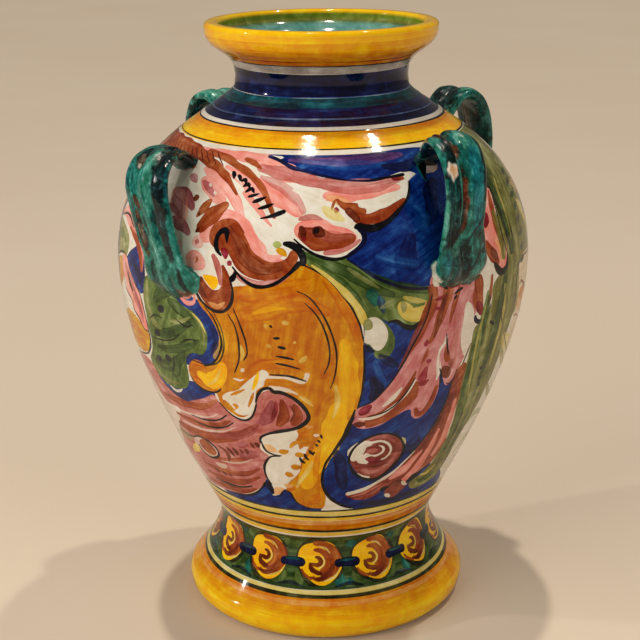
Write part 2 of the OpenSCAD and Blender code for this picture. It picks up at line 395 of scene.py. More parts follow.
    def fire(self, row=4.0):
        """Colours the cut face stroke over stroke: a darker stain tints what is
        under it, a paler one hides it. Returns turn and up of the points, the
        triangles, and paint, brush grain and edge at their corners."""
        xy, flat, tris = self.cut(row)
        middles = xy[tris].mean(1)
        paint = np.tile(GLAZE, (len(tris), 3, 1))
        grain, edge = np.zeros((len(tris), 3, 3)), np.zeros((len(tris), 3))
        for number, stroke in enumerate(self.strokes):
            hit = stroke.covers(middles)
            if not len(hit):
                continue
            along, across, side = stroke.grain_at(xy[tris[hit]].reshape(-1, 2))
            under = paint[hit]
            tint = under ** (1 - stroke.cover) * stroke.stain ** stroke.cover
            hide = under * (1 - stroke.cover) + stroke.stain * stroke.cover
            darker = under.mean(-1, keepdims=True) > stroke.stain.mean()
            paint[hit] = np.where(darker, tint, hide)
            grain[hit] = np.stack([along, across, np.full(len(along), number * APART)], -1).reshape(-1, 3, 3)
            edge[hit] = side.reshape(-1, 3)
        return flat[:, 0], np.interp(flat[:, 1], self.wall.rise, self.wall.up), tris, paint, grain, edge


OUTSIDE_V, SECTIONS_V = 0.8, 0.805  # where the outer face ends and the rest begins, up the UV map


def thrown(name, painting, sections, materials):
    """Closed piece: the painted outer face, then rings of the sections carried
    round from its top edge back to its bottom edge. A section is a curve of
    (radius, z), the stains at its start and end, and its material's number."""
    wall = painting.wall
    turn, up, tris, paint, grain, edge = painting.fire()
    low, high = np.where(up <= wall.up[0] + 1e-4)[0], np.where(up >= wall.up[-1] - 1e-4)[0]
    low, high = low[np.argsort(turn[low])], high[np.argsort(turn[high])]
    turns = turn[low]
    curve = np.vstack([part for part, start, end, number in sections])
    shades = np.vstack([np.linspace(STAINS[start], STAINS[end], len(part))
                        for part, start, end, number in sections])
    numbers = np.concatenate([np.full(len(part), number) for part, start, end, number in sections])
    length = lengths(curve)
    points, rings, count = [wall.surface(turn, up)], [high], len(up)
    for radius, z in curve[1:-1]:
        if radius < 1e-6:
            points.append(np.array([[0.0, 0.0, z]]))
            rings.append(np.full(COLUMNS, count))
            count += 1
        else:
            points.append(around(turns, radius + hand(turns, z), np.full(COLUMNS, z)))
            rings.append(np.arange(COLUMNS) + count)
            count += COLUMNS
    rings.append(low)
    quads = np.vstack([np.stack([a, np.roll(a, -1), np.roll(b, -1), b], -1)
                       for a, b in zip(rings, rings[1:])])
    share = SECTIONS_V + (1 - SECTIONS_V) * (length / length[-1])
    column = np.tile(np.arange(COLUMNS), len(rings) - 1) / COLUMNS
    first, second = np.repeat(share[:-1], COLUMNS), np.repeat(share[1:], COLUMNS)
    quad_uv = np.stack([np.stack([column, column + 1 / COLUMNS, column + 1 / COLUMNS, column], -1),
                        np.stack([first, first, second, second], -1)], -1)
    quad_rgb = np.repeat(np.stack([shades[:-1], shades[:-1], shades[1:], shades[1:]], 1), COLUMNS, 0)
    faces = [list(dict.fromkeys(face)) for face in quads.tolist()]
    keep = np.array([[face.index(v) == k for k, v in enumerate(face)] for face in quads.tolist()])
    face_turn = turn[tris]
    behind = (face_turn < -math.pi + 1e-6) & (face_turn.mean(1, keepdims=True) > 0)
    face_turn = np.where(behind, face_turn + 2 * math.pi, face_turn)
    tri_uv = np.stack([face_turn / (2 * math.pi) + 0.5,
                       OUTSIDE_V * (up[tris] - wall.up[0]) / (wall.up[-1] - wall.up[0])], -1)
    mesh = bpy.data.meshes.new(name)
    mesh.from_pydata((np.vstack(points) * MM).tolist(), [], tris.tolist() + faces)
    mesh.polygons.foreach_set("material_index",
                              np.r_[np.zeros(len(tris), int), np.repeat(numbers[1:], COLUMNS)])
    inside = int(keep.sum())
    normals = np.zeros((count, 3))
    normals[:len(up)] = wall.normal(turn, np.clip(up, wall.up[0] + 0.2, wall.up[-1] - 0.2))
    return finished(name, mesh, materials, normals,
                    np.vstack([tri_uv.reshape(-1, 2), quad_uv[keep]]),
                    paint=np.vstack([paint.reshape(-1, 3), quad_rgb[keep]]),
                    brush=np.vstack([grain.reshape(-1, 3), np.zeros((inside, 3))]),
                    pool=np.r_[edge.ravel(), np.zeros(inside)])


def finished(name, mesh, materials, normals, uv, **layers):
    """Gives a mesh its normals, UV map, corner layers and materials, and makes
    it a piece of the vase that rides on its one body."""
    for key, values in layers.items():
        kind, field = {1: ("FLOAT", "value"), 2: ("FLOAT_VECTOR", "vector")}[values.ndim]
        layer = mesh.attributes.new(key, kind, "CORNER")
        layer.data.foreach_set(field, values.astype(np.float32).ravel())
    layer = mesh.uv_layers.new(name="OFBake")
    layer.uv.foreach_set("vector", uv.astype(np.float32).ravel())
    mesh.polygons.foreach_set("use_smooth", np.ones(len(mesh.polygons), bool))
    mesh.update()
    if normals is not None:
        mesh.normals_split_custom_set_from_vertices(normals.tolist())
    for material in materials:
        mesh.materials.append(material)
    piece = bpy.data.objects.new(name, mesh)
    bpy.context.scene.collection.objects.link(piece)
    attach(piece, "root")
    return piece


def new_material(name):
    """A new material, and a function that adds a node to it, given its kind,
    the values or sockets of its inputs, and its settings."""
    material = bpy.data.materials.new(name)
    material.use_nodes = True
    tree = material.node_tree
    tree.nodes.clear()

    def node(kind, inputs=(), **settings):
        made = tree.nodes.new("ShaderNode" + kind)
        for key, value in settings.items():
            setattr(made, key, value)
        for key, value in dict(inputs).items():
            if isinstance(value, bpy.types.NodeSocket):
                tree.links.new(value, made.inputs[key])
            else:
                made.inputs[key].default_value = value
        return made

    return material, node


def noise(node, place, scale, detail, roughness=0.5, distortion=0.0):
    """Cloudy noise at a place, mostly from 0.3 to 0.7."""
    return node("TexNoise", {"Vector": place, "Scale": scale, "Detail": detail, "Roughness": roughness,
                             "Distortion": distortion}).outputs["Fac"]


def streaks(node, brush, along, across, apart):
    """Place in a noise that is drawn out along the brush's way."""
    return node("VectorMath", {0: brush, 1: (along, across, apart)}, operation="MULTIPLY").outputs[0]


def swung(node, power, tail, *swings):
    """A power to which each noise adds from a low to a high amount."""
    for cloud, low, high in swings:
        swing = node("MapRange", {"Value": cloud, "From Min": tail, "From Max": 1 - tail,
                                  "To Min": low, "To Max": high})
        power = node("Math", {0: power, 1: swing.outputs[0]}, operation="ADD").outputs[0]
    return power


def surface(node, colour, roughness, ior, height, strength, depth):
    """Ends a material with its colour, its gloss and the bumps of a height."""
    bump = node("Bump", {"Height": height, "Strength": strength, "Distance": depth})
    shader = node("BsdfPrincipled", {"Base Color": colour, "Roughness": roughness, "IOR": ior,
                                     "Normal": bump.outputs[0]})
    node("OutputMaterial", {"Surface": shader.outputs[0]})


def glaze_material(name):
    """Painted and fired tin glaze. The paint layer's colour is raised to a
    power that follows the brush's broad and fine streaks, clouds where the
    wet stain gathered, and pools at a stroke's edges, so that thick paint is
    deeper and white stays white."""
    material, node = new_material(name)
    paint = node("Attribute", attribute_name="paint").outputs["Color"]
    brush = node("Attribute", attribute_name="brush").outputs["Vector"]
    pool = node("Attribute", attribute_name="pool").outputs["Fac"]
    place = node("TexCoord").outputs["Object"]
    edge = node("Math", {0: pool}, operation="ABSOLUTE")
    rim = node("MapRange", {"Value": edge.outputs[0], "From Min": 0.6, "From Max": 1.0,
                            "To Min": 1.0, "To Max": 1.2})
    power = swung(node, rim.outputs[0], 0.3,
                  (noise(node, streaks(node, brush, 0.05, 0.42, 7.0), 1.0, 2.0, 0.5, 0.5), -0.2, 0.26),
                  (noise(node, streaks(node, brush, 0.12, 1.7, 3.0), 1.0, 2.0, 0.5, 0.3), -0.06, 0.07),
                  (noise(node, place, 170.0, 5.0, 0.62, 0.5), -0.28, 0.36),
                  (noise(node, place, 45.0, 2.0), -0.1, 0.1))
    deep = node("Gamma", {"Color": paint, "Gamma": power})
    pits = node("TexVoronoi", {"Vector": place, "Scale": 420.0, "Randomness": 1.0})
    pit = node("MapRange", {"Value": pits.outputs["Distance"], "From Min": 0.0, "From Max": 0.12,
                            "To Min": -0.5, "To Max": 0.0})
    height = node("Math", {0: noise(node, place, 190.0, 2.0), 1: pit.outputs[0]}, operation="ADD")
    surface(node, deep.outputs[0], 0.09, 1.45, height.outputs[0], 0.2, 0.0004)
    return material


def clay_material(name, colour):
    """Bare fired earthenware: grainy, matt, with darker and paler specks."""
    material, node = new_material(name)
    place = node("TexCoord").outputs["Object"]
    grains = noise(node, place, 900.0, 4.0, 0.7)
    both = node("Math", {0: grains, 1: noise(node, place, 60.0, 2.0)}, operation="ADD")
    tone = node("ValToRGB", {"Fac": both.outputs[0]})
    ramp = tone.color_ramp.elements
    ramp[0].position, ramp[0].color = 0.3, (*(0.55 * colour), 1)
    ramp[1].position, ramp[1].color = 0.75, (*np.minimum(1.25 * colour, 1), 1)
    surface(node, tone.outputs[0], 0.85, 1.5, grains, 0.5, 0.0005)
    return material


CLAY = screen(196, 140, 104)
STAINS["clay"] = CLAY
painted_glaze = glaze_material("painted_tin_glaze")
bare_clay = clay_material("bare_earthenware", CLAY)

roll = arc((foot_r - foot_roll_r, foot_roll_r), foot_roll_r, -90, 48)
flare = bezier(roll[-1], roll[-1], (waist_r, waist_z - 0.5 * (waist_z - roll[-1, 1])), (waist_r, waist_z))
lower_belly = bezier((waist_r, waist_z), (waist_r, waist_z + 0.054 * belly_h),
                     (belly_r, belly_z - 0.415 * belly_h), (belly_r, belly_z), 140)
foot = Wall(joined(roll, flare, lower_belly), 0.0, 0.0, foot_top_z)
foot_paint = Painter(foot, 3)


def ring(painter, stain, low_z, high_z, **more):
    """A turned ring between two heights."""
    painter.band(stain, painter.wall.up_at(low_z), painter.wall.up_at(high_z), **more)


def fade(painter, stain, full_z, gone_z, cover, steps=7):
    """A ring that is deepest at one height and has gone at another: thin
    rings from the one height, each reaching further than the last."""
    for k in range(steps):
        end = full_z + (gone_z - full_z) * (k + 1) / steps
        ring(painter, stain, min(full_z, end), max(full_z, end),
             cover=1 - (1 - cover) ** (1 / steps), wobble=0.2)


def bead(painter, azimuth, z):
    """A gold bead of the foot's garland: yellow on the left, rust on the right,
    with curls of the brush that open to the left and a dark blot in the middle."""
    painter.middle = (azimuth, painter.wall.up_at(z))
    painter.dab("moss", "0,0", 20.0, 21.0, 0.97)
    painter.dab("yellow", "0,0", 18.0, 18.8, 1.0)
    painter.follow("""
        rust 2.4,3.6,4.6,5,4.6,4,2 0.8 -3,8 1.5,7.4 5.4,4 6.6,-0.5 5,-4.6 0.5,-6.8 -3,-7
        rust 1.2,2.2,2.6,3,3,2.6 0.8 -2.8,4.6 0,4.5 2.6,2.4 3.4,-0.6 2.4,-3.6 0,-5
        brown 1,2.6,2.6,1.6 0.5 5.5,-1 4.6,-4.6 1.5,-6.4 -1.5,-6.6
        straw 0.4,0.9,0.4 0.7 -0.6,6.5 2.4,5.5 4.4,3.2
        brown 1,1.8,2,1.8,1.2 0.8 -2.2,1.4 -0.6,1.3 0.5,-0.4 -0.6,-1.8 -3.6,-1.4
        straw 0.5,0.8,0.9,0.6 0.8 0.6,1.9 1.9,0.2 1.4,-2 -0.6,-3.2
        brown 1.2,2.2,2.6,1.6 0.85 -4,-0.8 -3.6,-3.2 -1.6,-4.9 1,-5.2
        yellow 0.5,0.9,0.5 0.85 -3.2,-5.2 -1.4,-6.4 0.4,-6.3
        brown 0.8,1.6,1 0.75 -4,-6.8 -0.4,-8 3.4,-6.6
        rust 0.7,1.7,0.8 0.75 -7.6,-3.6 -6.2,-6 -3,-8
        straw 0.4,1,0.5 0.8 8.2,-3.4 6,-6.6 1.4,-8.8""")
    painter.middle = None


ring(foot_paint, "yellow", 0.6, 17.6, cover=1.0)
fade(foot_paint, "orange", 17.4, 10.5, 0.6)
ring(foot_paint, "peach", 14.6, 16.6, cover=0.35, wobble=0.3)
# Thin brown ring at the glaze's lowest edge: a dark glaze edge, deepened as a painted contact shadow where
# the foot meets the floor.
ring(foot_paint, "brown", 0.8, 1.5, cover=0.7)
ring(foot_paint, "moss", 17.3, 18.6)
ring(foot_paint, "straw", 18.6, 20.1, cover=0.75)
ring(foot_paint, "green", 20.1, 42.1, cover=1.0)
ring(foot_paint, "moss", 41.8, 42.4)
BEADS, BEAD_Z, FIRST_BEAD = 13, 31.3, -169.2  # how many, how high, and one's azimuth
for k in range(BEADS):
    link = FIRST_BEAD + 360 * k / BEADS + 180 / BEADS
    for side, low, high, width in ((-5.5, 21.4, 26.5, 5.0), (0.5, 22.0, 24.5, 6.0), (5.0, 21.6, 27.0, 4.6),
                                   (-3.5, 37.0, 40.5, 5.5), (3.0, 36.5, 40.0, 6.0)):
        stain = "teal" if (k + side) % 3 < 1 else "leaf"
        foot_paint.brush(stain, f"{link + side},{foot.up_at(low)} {link + 0.6 * side},{foot.up_at(high)}",
                         (2.0, width, 2.5), 0.7)
    left, middle, right = foot.up_at(21.2), foot.up_at(22.4), foot.up_at(21.0)
    foot_paint.brush("navy", f"{link - 7},{left} {link},{middle} {link + 7},{right}", (0.8, 1.8, 0.8), 0.35)
for k in range(BEADS):
    bead(foot_paint, FIRST_BEAD + 360 * k / BEADS, BEAD_Z)
left, middle, right, above = (foot.up_at(BEAD_Z + step) for step in (-1.2, -0.8, -1.0, 0.2))
for k in range(BEADS):
    link = FIRST_BEAD + 360 * (k + 0.5) / BEADS
    foot_paint.brush("navy", f"{link - 6.6},{left} {link},{middle} {link + 6.6},{right}",
                     (3.6, 4.0, 3.6), 0.95)
    foot_paint.brush("teal", f"{link - 4},{foot.up_at(BEAD_Z)} {link + 4},{above}", 1.2, 0.4)

foot_inner = bezier((foot_r - foot_edge_w, foot_roll_r), (foot_r - foot_edge_w, foot_top_z / 2),
                    (waist_r - foot_wall, foot_top_z / 2), (waist_r - foot_wall, foot_top_z), 24)[::-1]
foot_edge = np.array([(foot_r - foot_edge_w, foot_roll_r), (foot_r - foot_edge_w + 0.3, 0.8),
                      (foot_r - foot_edge_w + 1.2, 0), (foot_r - foot_roll_r, 0)])
foot_piece = thrown("foot_glazed", foot_paint, [
    (np.array([foot.point(foot.up[-1]), foot_inner[0]]), "bare", "bare", 0),
    (foot_inner[1:], "bare", "straw", 0), (foot_edge[1:], "clay", "clay", 1)],
    (painted_glaze, bare_clay))
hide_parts("foot", "foot_slip_joint")

# ----------------------------------------------------------------------
# Body. The big thrown belly, white inside and painted all over outside with
# broad leaves curling on cobalt, between turned rings at foot and shoulder.
body_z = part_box("body")[0][2] / MM
seam_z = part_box("body")[1][2] / MM
shoulder_r, shoulder_slope = 58.2, math.radians(36)
wall_t, floor_t, floor_corner_r = 6.0, 8.0, 12.0
shoulder_h = seam_z - belly_z
downhill = np.array([math.cos(shoulder_slope), -math.sin(shoulder_slope)])
shoulder_edge = np.array([shoulder_r, seam_z])
shoulder = bezier((belly_r, belly_z), (belly_r, belly_z + 0.53 * shoulder_h),
                  shoulder_edge + 0.3 * shoulder_h * downhill, shoulder_edge, 90)


def inward(curve, depth):
    """A curve moved square to itself, to the inside of the wall."""
    ahead = unit(np.gradient(curve, axis=0))
    return curve + depth * np.stack([-ahead[:, 1], ahead[:, 0]], -1)


body = Wall(joined(lower_belly, shoulder), waist_z, body_z, seam_z)
body_paint = Painter(body, 7)
for stain, low, high, cover in (
        ("yellow", 5.6, 7.9, 0.8), ("straw", 6.0, 7.6, 0.7), ("moss", 8.0, 9.6, 0.95),
        ("ochre", 9.6, 15.6, 1.0), ("orange", 9.6, 12.2, 0.4), ("peach", 12.6, 15.4, 0.45),
        ("yellow", 15.6, 17.5, 0.9), ("straw", 16.0, 17.2, 0.6), ("moss", 17.6, 18.9, 0.95),
        ("straw", 18.9, 21.7, 1.0), ("moss", 21.7, 23.2, 0.95), ("brown", 184.0, 184.35, 0.5)):
    body_paint.band(stain, low, high, cover=cover)


def blue_ground(paint):
    """Cobalt ground between the leaves."""
    paint.follow("""
        patch cobalt 0.97 35 -20,184 10,184.3 40,184.3 46,170 41,156 36,143 34,129 24,123.6 20,124 0,138
            -5,152 -15,178
        patch cobalt 0.97 35 10,112 10,98 10,84 8,79 15,80 20,86 25,96 29,106 31,114 31,130 20,128 11,121
        patch cobalt 0.97 35 9,80 6.5,72 5,65 1,55 -1,47 -1,40 0,33 3,28 7,24.5 12,23 30,22.8 46,23 58,24
            52,34 42,42 40,60 42,76 40,90 34,92 26,80 14,74
        patch cobalt 0.97 35 -46,23 -46,26 -33,27 -27,31 -22,40 -18,36 -15,37 -10,30 -6,26 1,25 1,22.8
            -20,22.8
        patch cobalt 0.97 35 -45,120 -40,124 -34,124 -30,119 -27.6,113 -27.4,107 -28.5,101 -31,97 -34,96
            -42,95 -40,110
        patch cobalt 0.97 35 -64,138 -58,140 -54,132 -54,121 -59,119 -63,125 -66,132
        patch cobalt 0.97 35 -60,82 -56,78 -52,74 -42,74 -33,80 -34,86 -44,86""")


def curled_leaf(paint):
    """Green leaf on the left, curled round the end of the handle."""
    paint.follow("""
        patch leaf 1 60 -31.2,111 -32.5,115 -35,118.5 -39,120.5 -45,127 -52,128 -54.5,124 -54.8,116 -55,108
            -54.6,102 -56,95 -59.5,89 -59,84 -55,80.5 -50,79.5 -45,81 -42,84 -40.5,90 -40,97 -37,100.5
            -34,100.5 -32,103.5 -31.3,108
        green 5 0.6 -44,121 -38,117 -34,112
        green 4.5 0.6 -52,104 -46,106 -40,110 -36,114
        green 6 0.6 -56,90 -50,90 -44,94 -40,100
        green 4 0.6 -52,98 -46,99 -38,103 -34,107
        green 5 0.6 -50,118 -47,122 -42,124
        green 4 0.6 -48,86 -45,90 -43,97
        sage 4.5 0.8 -52.5,126 -53.5,118 -52,110 -48,107
        sage 1.6 0.8 -35,117.5 -33,114 -32.2,110 -32.8,105
        sage 2.6 0.8 -57,88 -56,84 -52,82 -46,83
        sage 2 0.8 -44,112 -40,113 -36,116
        straw 0.9 0.9 -35.5,118 -33,115 -31.6,110.5
        bare 1.7 0.85 -52,79.6 -49.5,78.2 -47,79.2 -45.6,80.6""")
    for place in ("-50.5,104.5", "-48,94", "-53,92", "-47,116"):
        paint.dab("navy", place, 4.5, 3.2, 0.45, tilt=20)
    paint.follow("""
        line 0.7 -41,103.5 -38,106 -35,106.5
        line 0.7 -42,114 -38,111.5 -35.5,113
        line 0.7 -53,110 -50,112.5 -47,112
        line 0.7 -54,101.5 -49,102 -44,104 -41,107
        line 0.7 -48,88 -46,92 -45,97""")


def far_leaf(paint):
    """Cream ground on the far left, with a straw and peach leaf and a pink tongue."""
    paint.follow("""
        patch bare 1 0 -88,150 -74,149 -66,146 -58,140 -64,133 -66,127 -56,118 -55,106 -56,98 -60,90 -70,88
            -88,86
        patch sage 0.9 20 -88,140 -78,143 -68,141 -65,137 -66,131 -72,130 -80,125 -88,122
        leaf 4 0.6 -86,133 -78,137 -70,138 -67,135
        patch ochre 0.75 25 -88,120 -80,125 -70,129.5 -68,127 -70,120 -76,114 -88,108
        orange 4 0.5 -84,113 -76,117 -71,121
        patch ochre 0.7 20 -72,106 -66,107.5 -60,106 -55.5,102 -57,96 -61,91.5 -66,90 -76,90 -80,96
        orange 5 0.45 -74,98 -66,101 -59,99
        orange 3.5 0.6 -72,94 -66,94.5 -60,96
        pink 1.5,5,6,5,2 0.95 -80,144 -74,147 -67,145.5 -60,141 -56,134 -55.4,128
        rust 1,2.6,3,2 0.85 -66,143 -60,139.5 -56.5,134 -55.4,128
        line 0.9 -80,143 -74,146 -69,146.5 -63,143.5
        line 0.9 -80,125 -74,129.5 -69,131.5 -65,130.5
        line 0.9 -55,102 -57,96 -60,91.5 -65,89 -74,86
        patch pink 1 70 -69.5,130.5 -65.5,130.5 -63.5,127 -59.5,122 -57,118 -55.8,111 -55,105 -56.5,103
            -59,104.5 -60.5,108 -63,109.5 -63.5,113.5 -66.5,115.5 -67.5,121 -70,123
        rose 5 0.8 -67,128 -63,122 -59,114 -57.5,106
        mauve 2.6 0.5 -61,120 -58,113 -57,108
        line 0.9 -69,122 -67,116.5 -63.5,113.5 -63,109.5 -60,107 -58,103.5 -55.4,103
        line 0.9 -63.5,127 -60,122 -56.8,118 -55.6,110 -55.2,103 -56.5,96 -60,91
        line 1.6 -65,125 -63,120 -61.5,118""")


def striped_leaf(paint):
    """Big striped leaf, low on the left, with its round lobe in the middle."""
    paint.follow("""
        patch rose 1 8 -86,84 -75,85 -66,88 -60,87 -57,80.5 -52,76 -46,74.5 -42,76.5 -37,79.5 -33,82.5
            -31.5,79.5 -29,74.5 -26,72.5 -24,72.4 -21.5,74.5 -20,78 -19.2,82 -18.3,85.5 -16.5,88 -14.5,88.8
            -12,88.2 -9.5,86.5 -7,83.5 -5.2,80 -4.8,77 -6,73.5 -9,70.5 -14,68.5 -17,67 -20,64 -20.5,61
            -21,57.5 -18.5,54.5 -20,52 -21.5,47 -21.5,42 -22.5,38.5 -25,34.5 -29,30.5 -35,27 -42,25.4
            -52,24.4 -64,24 -86,26
        patch bare 0.8 0 -86,80 -72,82 -66,74 -60,68 -52,68 -56,60 -62,50 -66,38 -60,26 -70,24 -86,24
        rust 4 0.75 -60,72 -48,72.5 -38,75 -32,80
        rust 3.4 0.8 -56,64 -44,64 -36,66 -29,70.5
        rust 5.5 0.8 -58,58 -44,57.5 -34,60 -26,65 -20,71
        mauve 4 0.5 -40,60 -30,62 -23,67 -18,75
        mauve 5.5 0.75 -19,71 -16,77 -14.5,84
        rust 4.5 0.9 -14,71 -11.5,77 -11.8,85
        rust 4.4 0.85 -9.5,72 -7.5,77 -8.5,83
        brown 1.2 0.6 -10,74 -8.5,78 -9.5,82
        crimson 2 0.45 -15.5,74 -14,79 -13.5,84
        rose 2.4 0.6 -18,80 -16.5,84.5 -14.5,87
        rust 3 0.5 -48,46 -38,46 -30,49 -23,54
        mauve 5 0.6 -30,50 -26,53 -21.5,55
        rose 4.5 0.7 -46,42 -34,42 -27,45 -22,50
        rust 3.4 0.8 -54,38 -40,38.5 -30,41 -23,46
        rust 3.6 0.85 -54,33 -40,33 -31,36 -24,41
        brown 1.6 0.6 -50,30.5 -38,30.5 -29,33.5
        rust 3.2 0.9 -56,27.5 -42,28 -33,29.5 -27,33
        bare 1.3 0.6 -60,67 -48,67.5 -38,69.5 -33,73
        bare 1.3 0.55 -54,61 -44,61 -34,63.5 -28,67.5
        bare 1 0.5 -40,45 -34,46 -29,48 -25,51
        bare 3.5 0.6 -44,42 -41,41.5 -38,43
        mauve 3.5 0.5 -30,57 -27,58.5 -25,60
        line 0.9 -46,67.6 -40,67.5 -34,69.5 -30,73.3
        line 0.9 -46,64.4 -40,64.2 -35,65 -31,67.3 -28.3,70
        line 0.9 -50,31 -42,30.6 -34,31.6 -29,34
        line 0.9 -48,74.8 -56,79.5
        brown 2.2 0.85 -38.3,54.3 -35.8,52.5 -35,49.5 -36,46
        brown 2.2 0.85 -34.5,55 -33,52.5 -32.3,50
        brown 2 0.85 -32,55.5 -30.8,53.5 -30.6,51.3
        brown 1.6 0.85 -29,55.7 -28,53.3
        brown 1.8 0.85 -26.8,56.6 -26.2,54.6 -27,53.4
        brown 2.4 0.85 -22.6,60.8 -21.8,59.8 -21.6,58.3
        brown 1.6 0.85 -42.2,38 -41,35.6
        brown 1.6 0.85 -38.8,37.8 -38,36.4
        brown 1.6 0.85 -46,38.6 -44.6,35.6
        brown 1.6 0.85 -24,60.6 -23.2,57.5
        patch bare 0.5 0 -49,55 -44,55.6 -41,54 -39.6,50.5 -41,46.5 -45,44.6 -49,46 -52,50""")
    paint.dab("rust", "-44.6,50.5", 9, 8.5, 0.75)
    paint.follow("""
        line 1.2 -52,53 -47,55.6 -43,55 -40,52.3 -39.8,48.5 -42.5,45.6 -46,44.8 -49,46.8 -49.8,50
        patch straw 0.9 0 -56,46 -52,49.5 -50.5,47.5 -53,44 -57,43
        patch sage 0.6 0 -62,52 -56,55 -52,53 -54,50 -60,49
        line 1 -60,56 -55,53 -51,53.6""")


def yellow_scroll(paint):
    """Yellow scroll down the middle, dry-brushed over white at its foot."""
    paint.follow("""
        patch ochre 1 78 -6,141.5 0,137 3.5,131.5 6.5,125.5 8.7,118.5 9.9,111 10.3,104 10.4,96 10,86 9,79.5
            8.4,75.5 6.8,72 5.2,65 2.2,57.5 0,51 -1,44 -1,38.5 0,32.5 0.6,27 -1,24.6 -4,24.2 -7.5,24.8
            -11,27.6 -12.3,30.5 -13,33.5 -15,35 -13,40 -9,46 -8,52 -8,60 -9,66 -8,70 -5.5,73.5 -4.6,78
            -6.5,84 -9.5,87 -13,89.5 -16,89.5 -18.5,87 -20,80 -22,76 -25,73.5 -28,75 -31,79 -31.5,83 -33,84
            -36,84 -38.5,86 -40,89 -39.6,94 -37,97.3 -34,96.3 -31,97.5 -28.6,102 -27.6,108 -28,113 -30,118
            -32.5,121.5 -33.5,126 -30,128 -22,131 -14,133
        orange 9 0.5 -22,128 -12,130 -3,134
        orange 8 0.35 -24,118 -16,122 -6,126 2,122
        yellow 2.2 0.5 -18,121 -13,123.5 -9,124
        yellow 4.5 0.45 -30,100 -27,106 -26.4,112
        orange 5 0.5 0,136 4,128 7,119 8.4,110
        straw 2 0.7 -21.8,108 -21.2,104 -22,101
        orange 5 0.4 -22,94 -16,100 -8,101 -4,98
        yellow 3,8,8,6 0.65 5,112 6,100 6.5,88 5,76
        yellow 5,10,9,9,8,5 0.8 4,84 3,72 1,62 -3,52 -6,44 -7,36
        orange 2.6 0.4 -1.5,62 -3,50 -3,40 -2.4,30
        straw 2.4 0.6 -4,53 -6,47 -9,41 -10.5,37
        orange 4.5 0.75 -3,34 -4.4,29 -7,26.6
        orange 3 0.7 -11.4,38 -12.6,36 -13.4,34.4
        straw 2.4 0.6 3,92 3.6,84 2.4,76
        yellow 7.5 0.9 -37,92 -33,89 -29,93 -27.4,99
        orange 3 0.7 -38.5,95.5 -36,96.5 -33.6,95.4
        orange 4 0.7 -39.2,88 -37,88 -35.8,86.6
        straw 1.5 0.6 -34,87 -31,90 -28.4,96
        patch bare 0.97 60 -28,85 -24.5,87 -22,90.5 -19,94.5 -16.2,98 -14.6,96 -16,93 -16.5,90.5 -18.7,88
            -19.6,82 -21,77.5 -23,75.2 -25.5,74.8 -28,77.5 -30,82
        ochre 2.6 0.85 -29.6,81 -28.4,78 -26.6,76.6
        orange 1.8 0.7 -27,79.4 -25.6,79.2 -26.4,77.4
        ochre 1.4 0.8 -22,79.4 -20.8,83 -19.6,87
        yellow 1.8 0.8 -19.8,88 -18.4,92.6 -17.4,97
        ochre 1.4 0.8 -27,84 -24,86.4 -22,88
        ochre 2.2 0.6 -22.4,92 -20.4,95.6 -18.6,99
        bare 1.2 0.8 -25,92.4 -23,92 -21.8,92.8
        bare 1.8 0.8 -22.4,96 -21.4,97.6
        ochre 4 0.95 -15.4,93.4 -11,92.6 -7,92 -4.6,91.6
        bare 2 0.8 -15,90.6 -10,89.4 -7,87.6
        bare 1.2,1,1.6,2.2 0.85 -15.6,94.8 -10,95 -5.6,93.4 -4.2,97.6
        straw 2 0.6 -7,87 -5,85 -3,82
        straw 2.4 0.6 -6.4,102 -5,103.8 -4.4,105
        straw 2.6 0.6 -15,116.4 -14,117
        straw 2.2 0.6 -10.4,118.4 -8.6,118.2
        straw 1.4 0.6 -7.6,110 -7,111
        straw 2 0.5 -14.6,109 -13.4,108""")


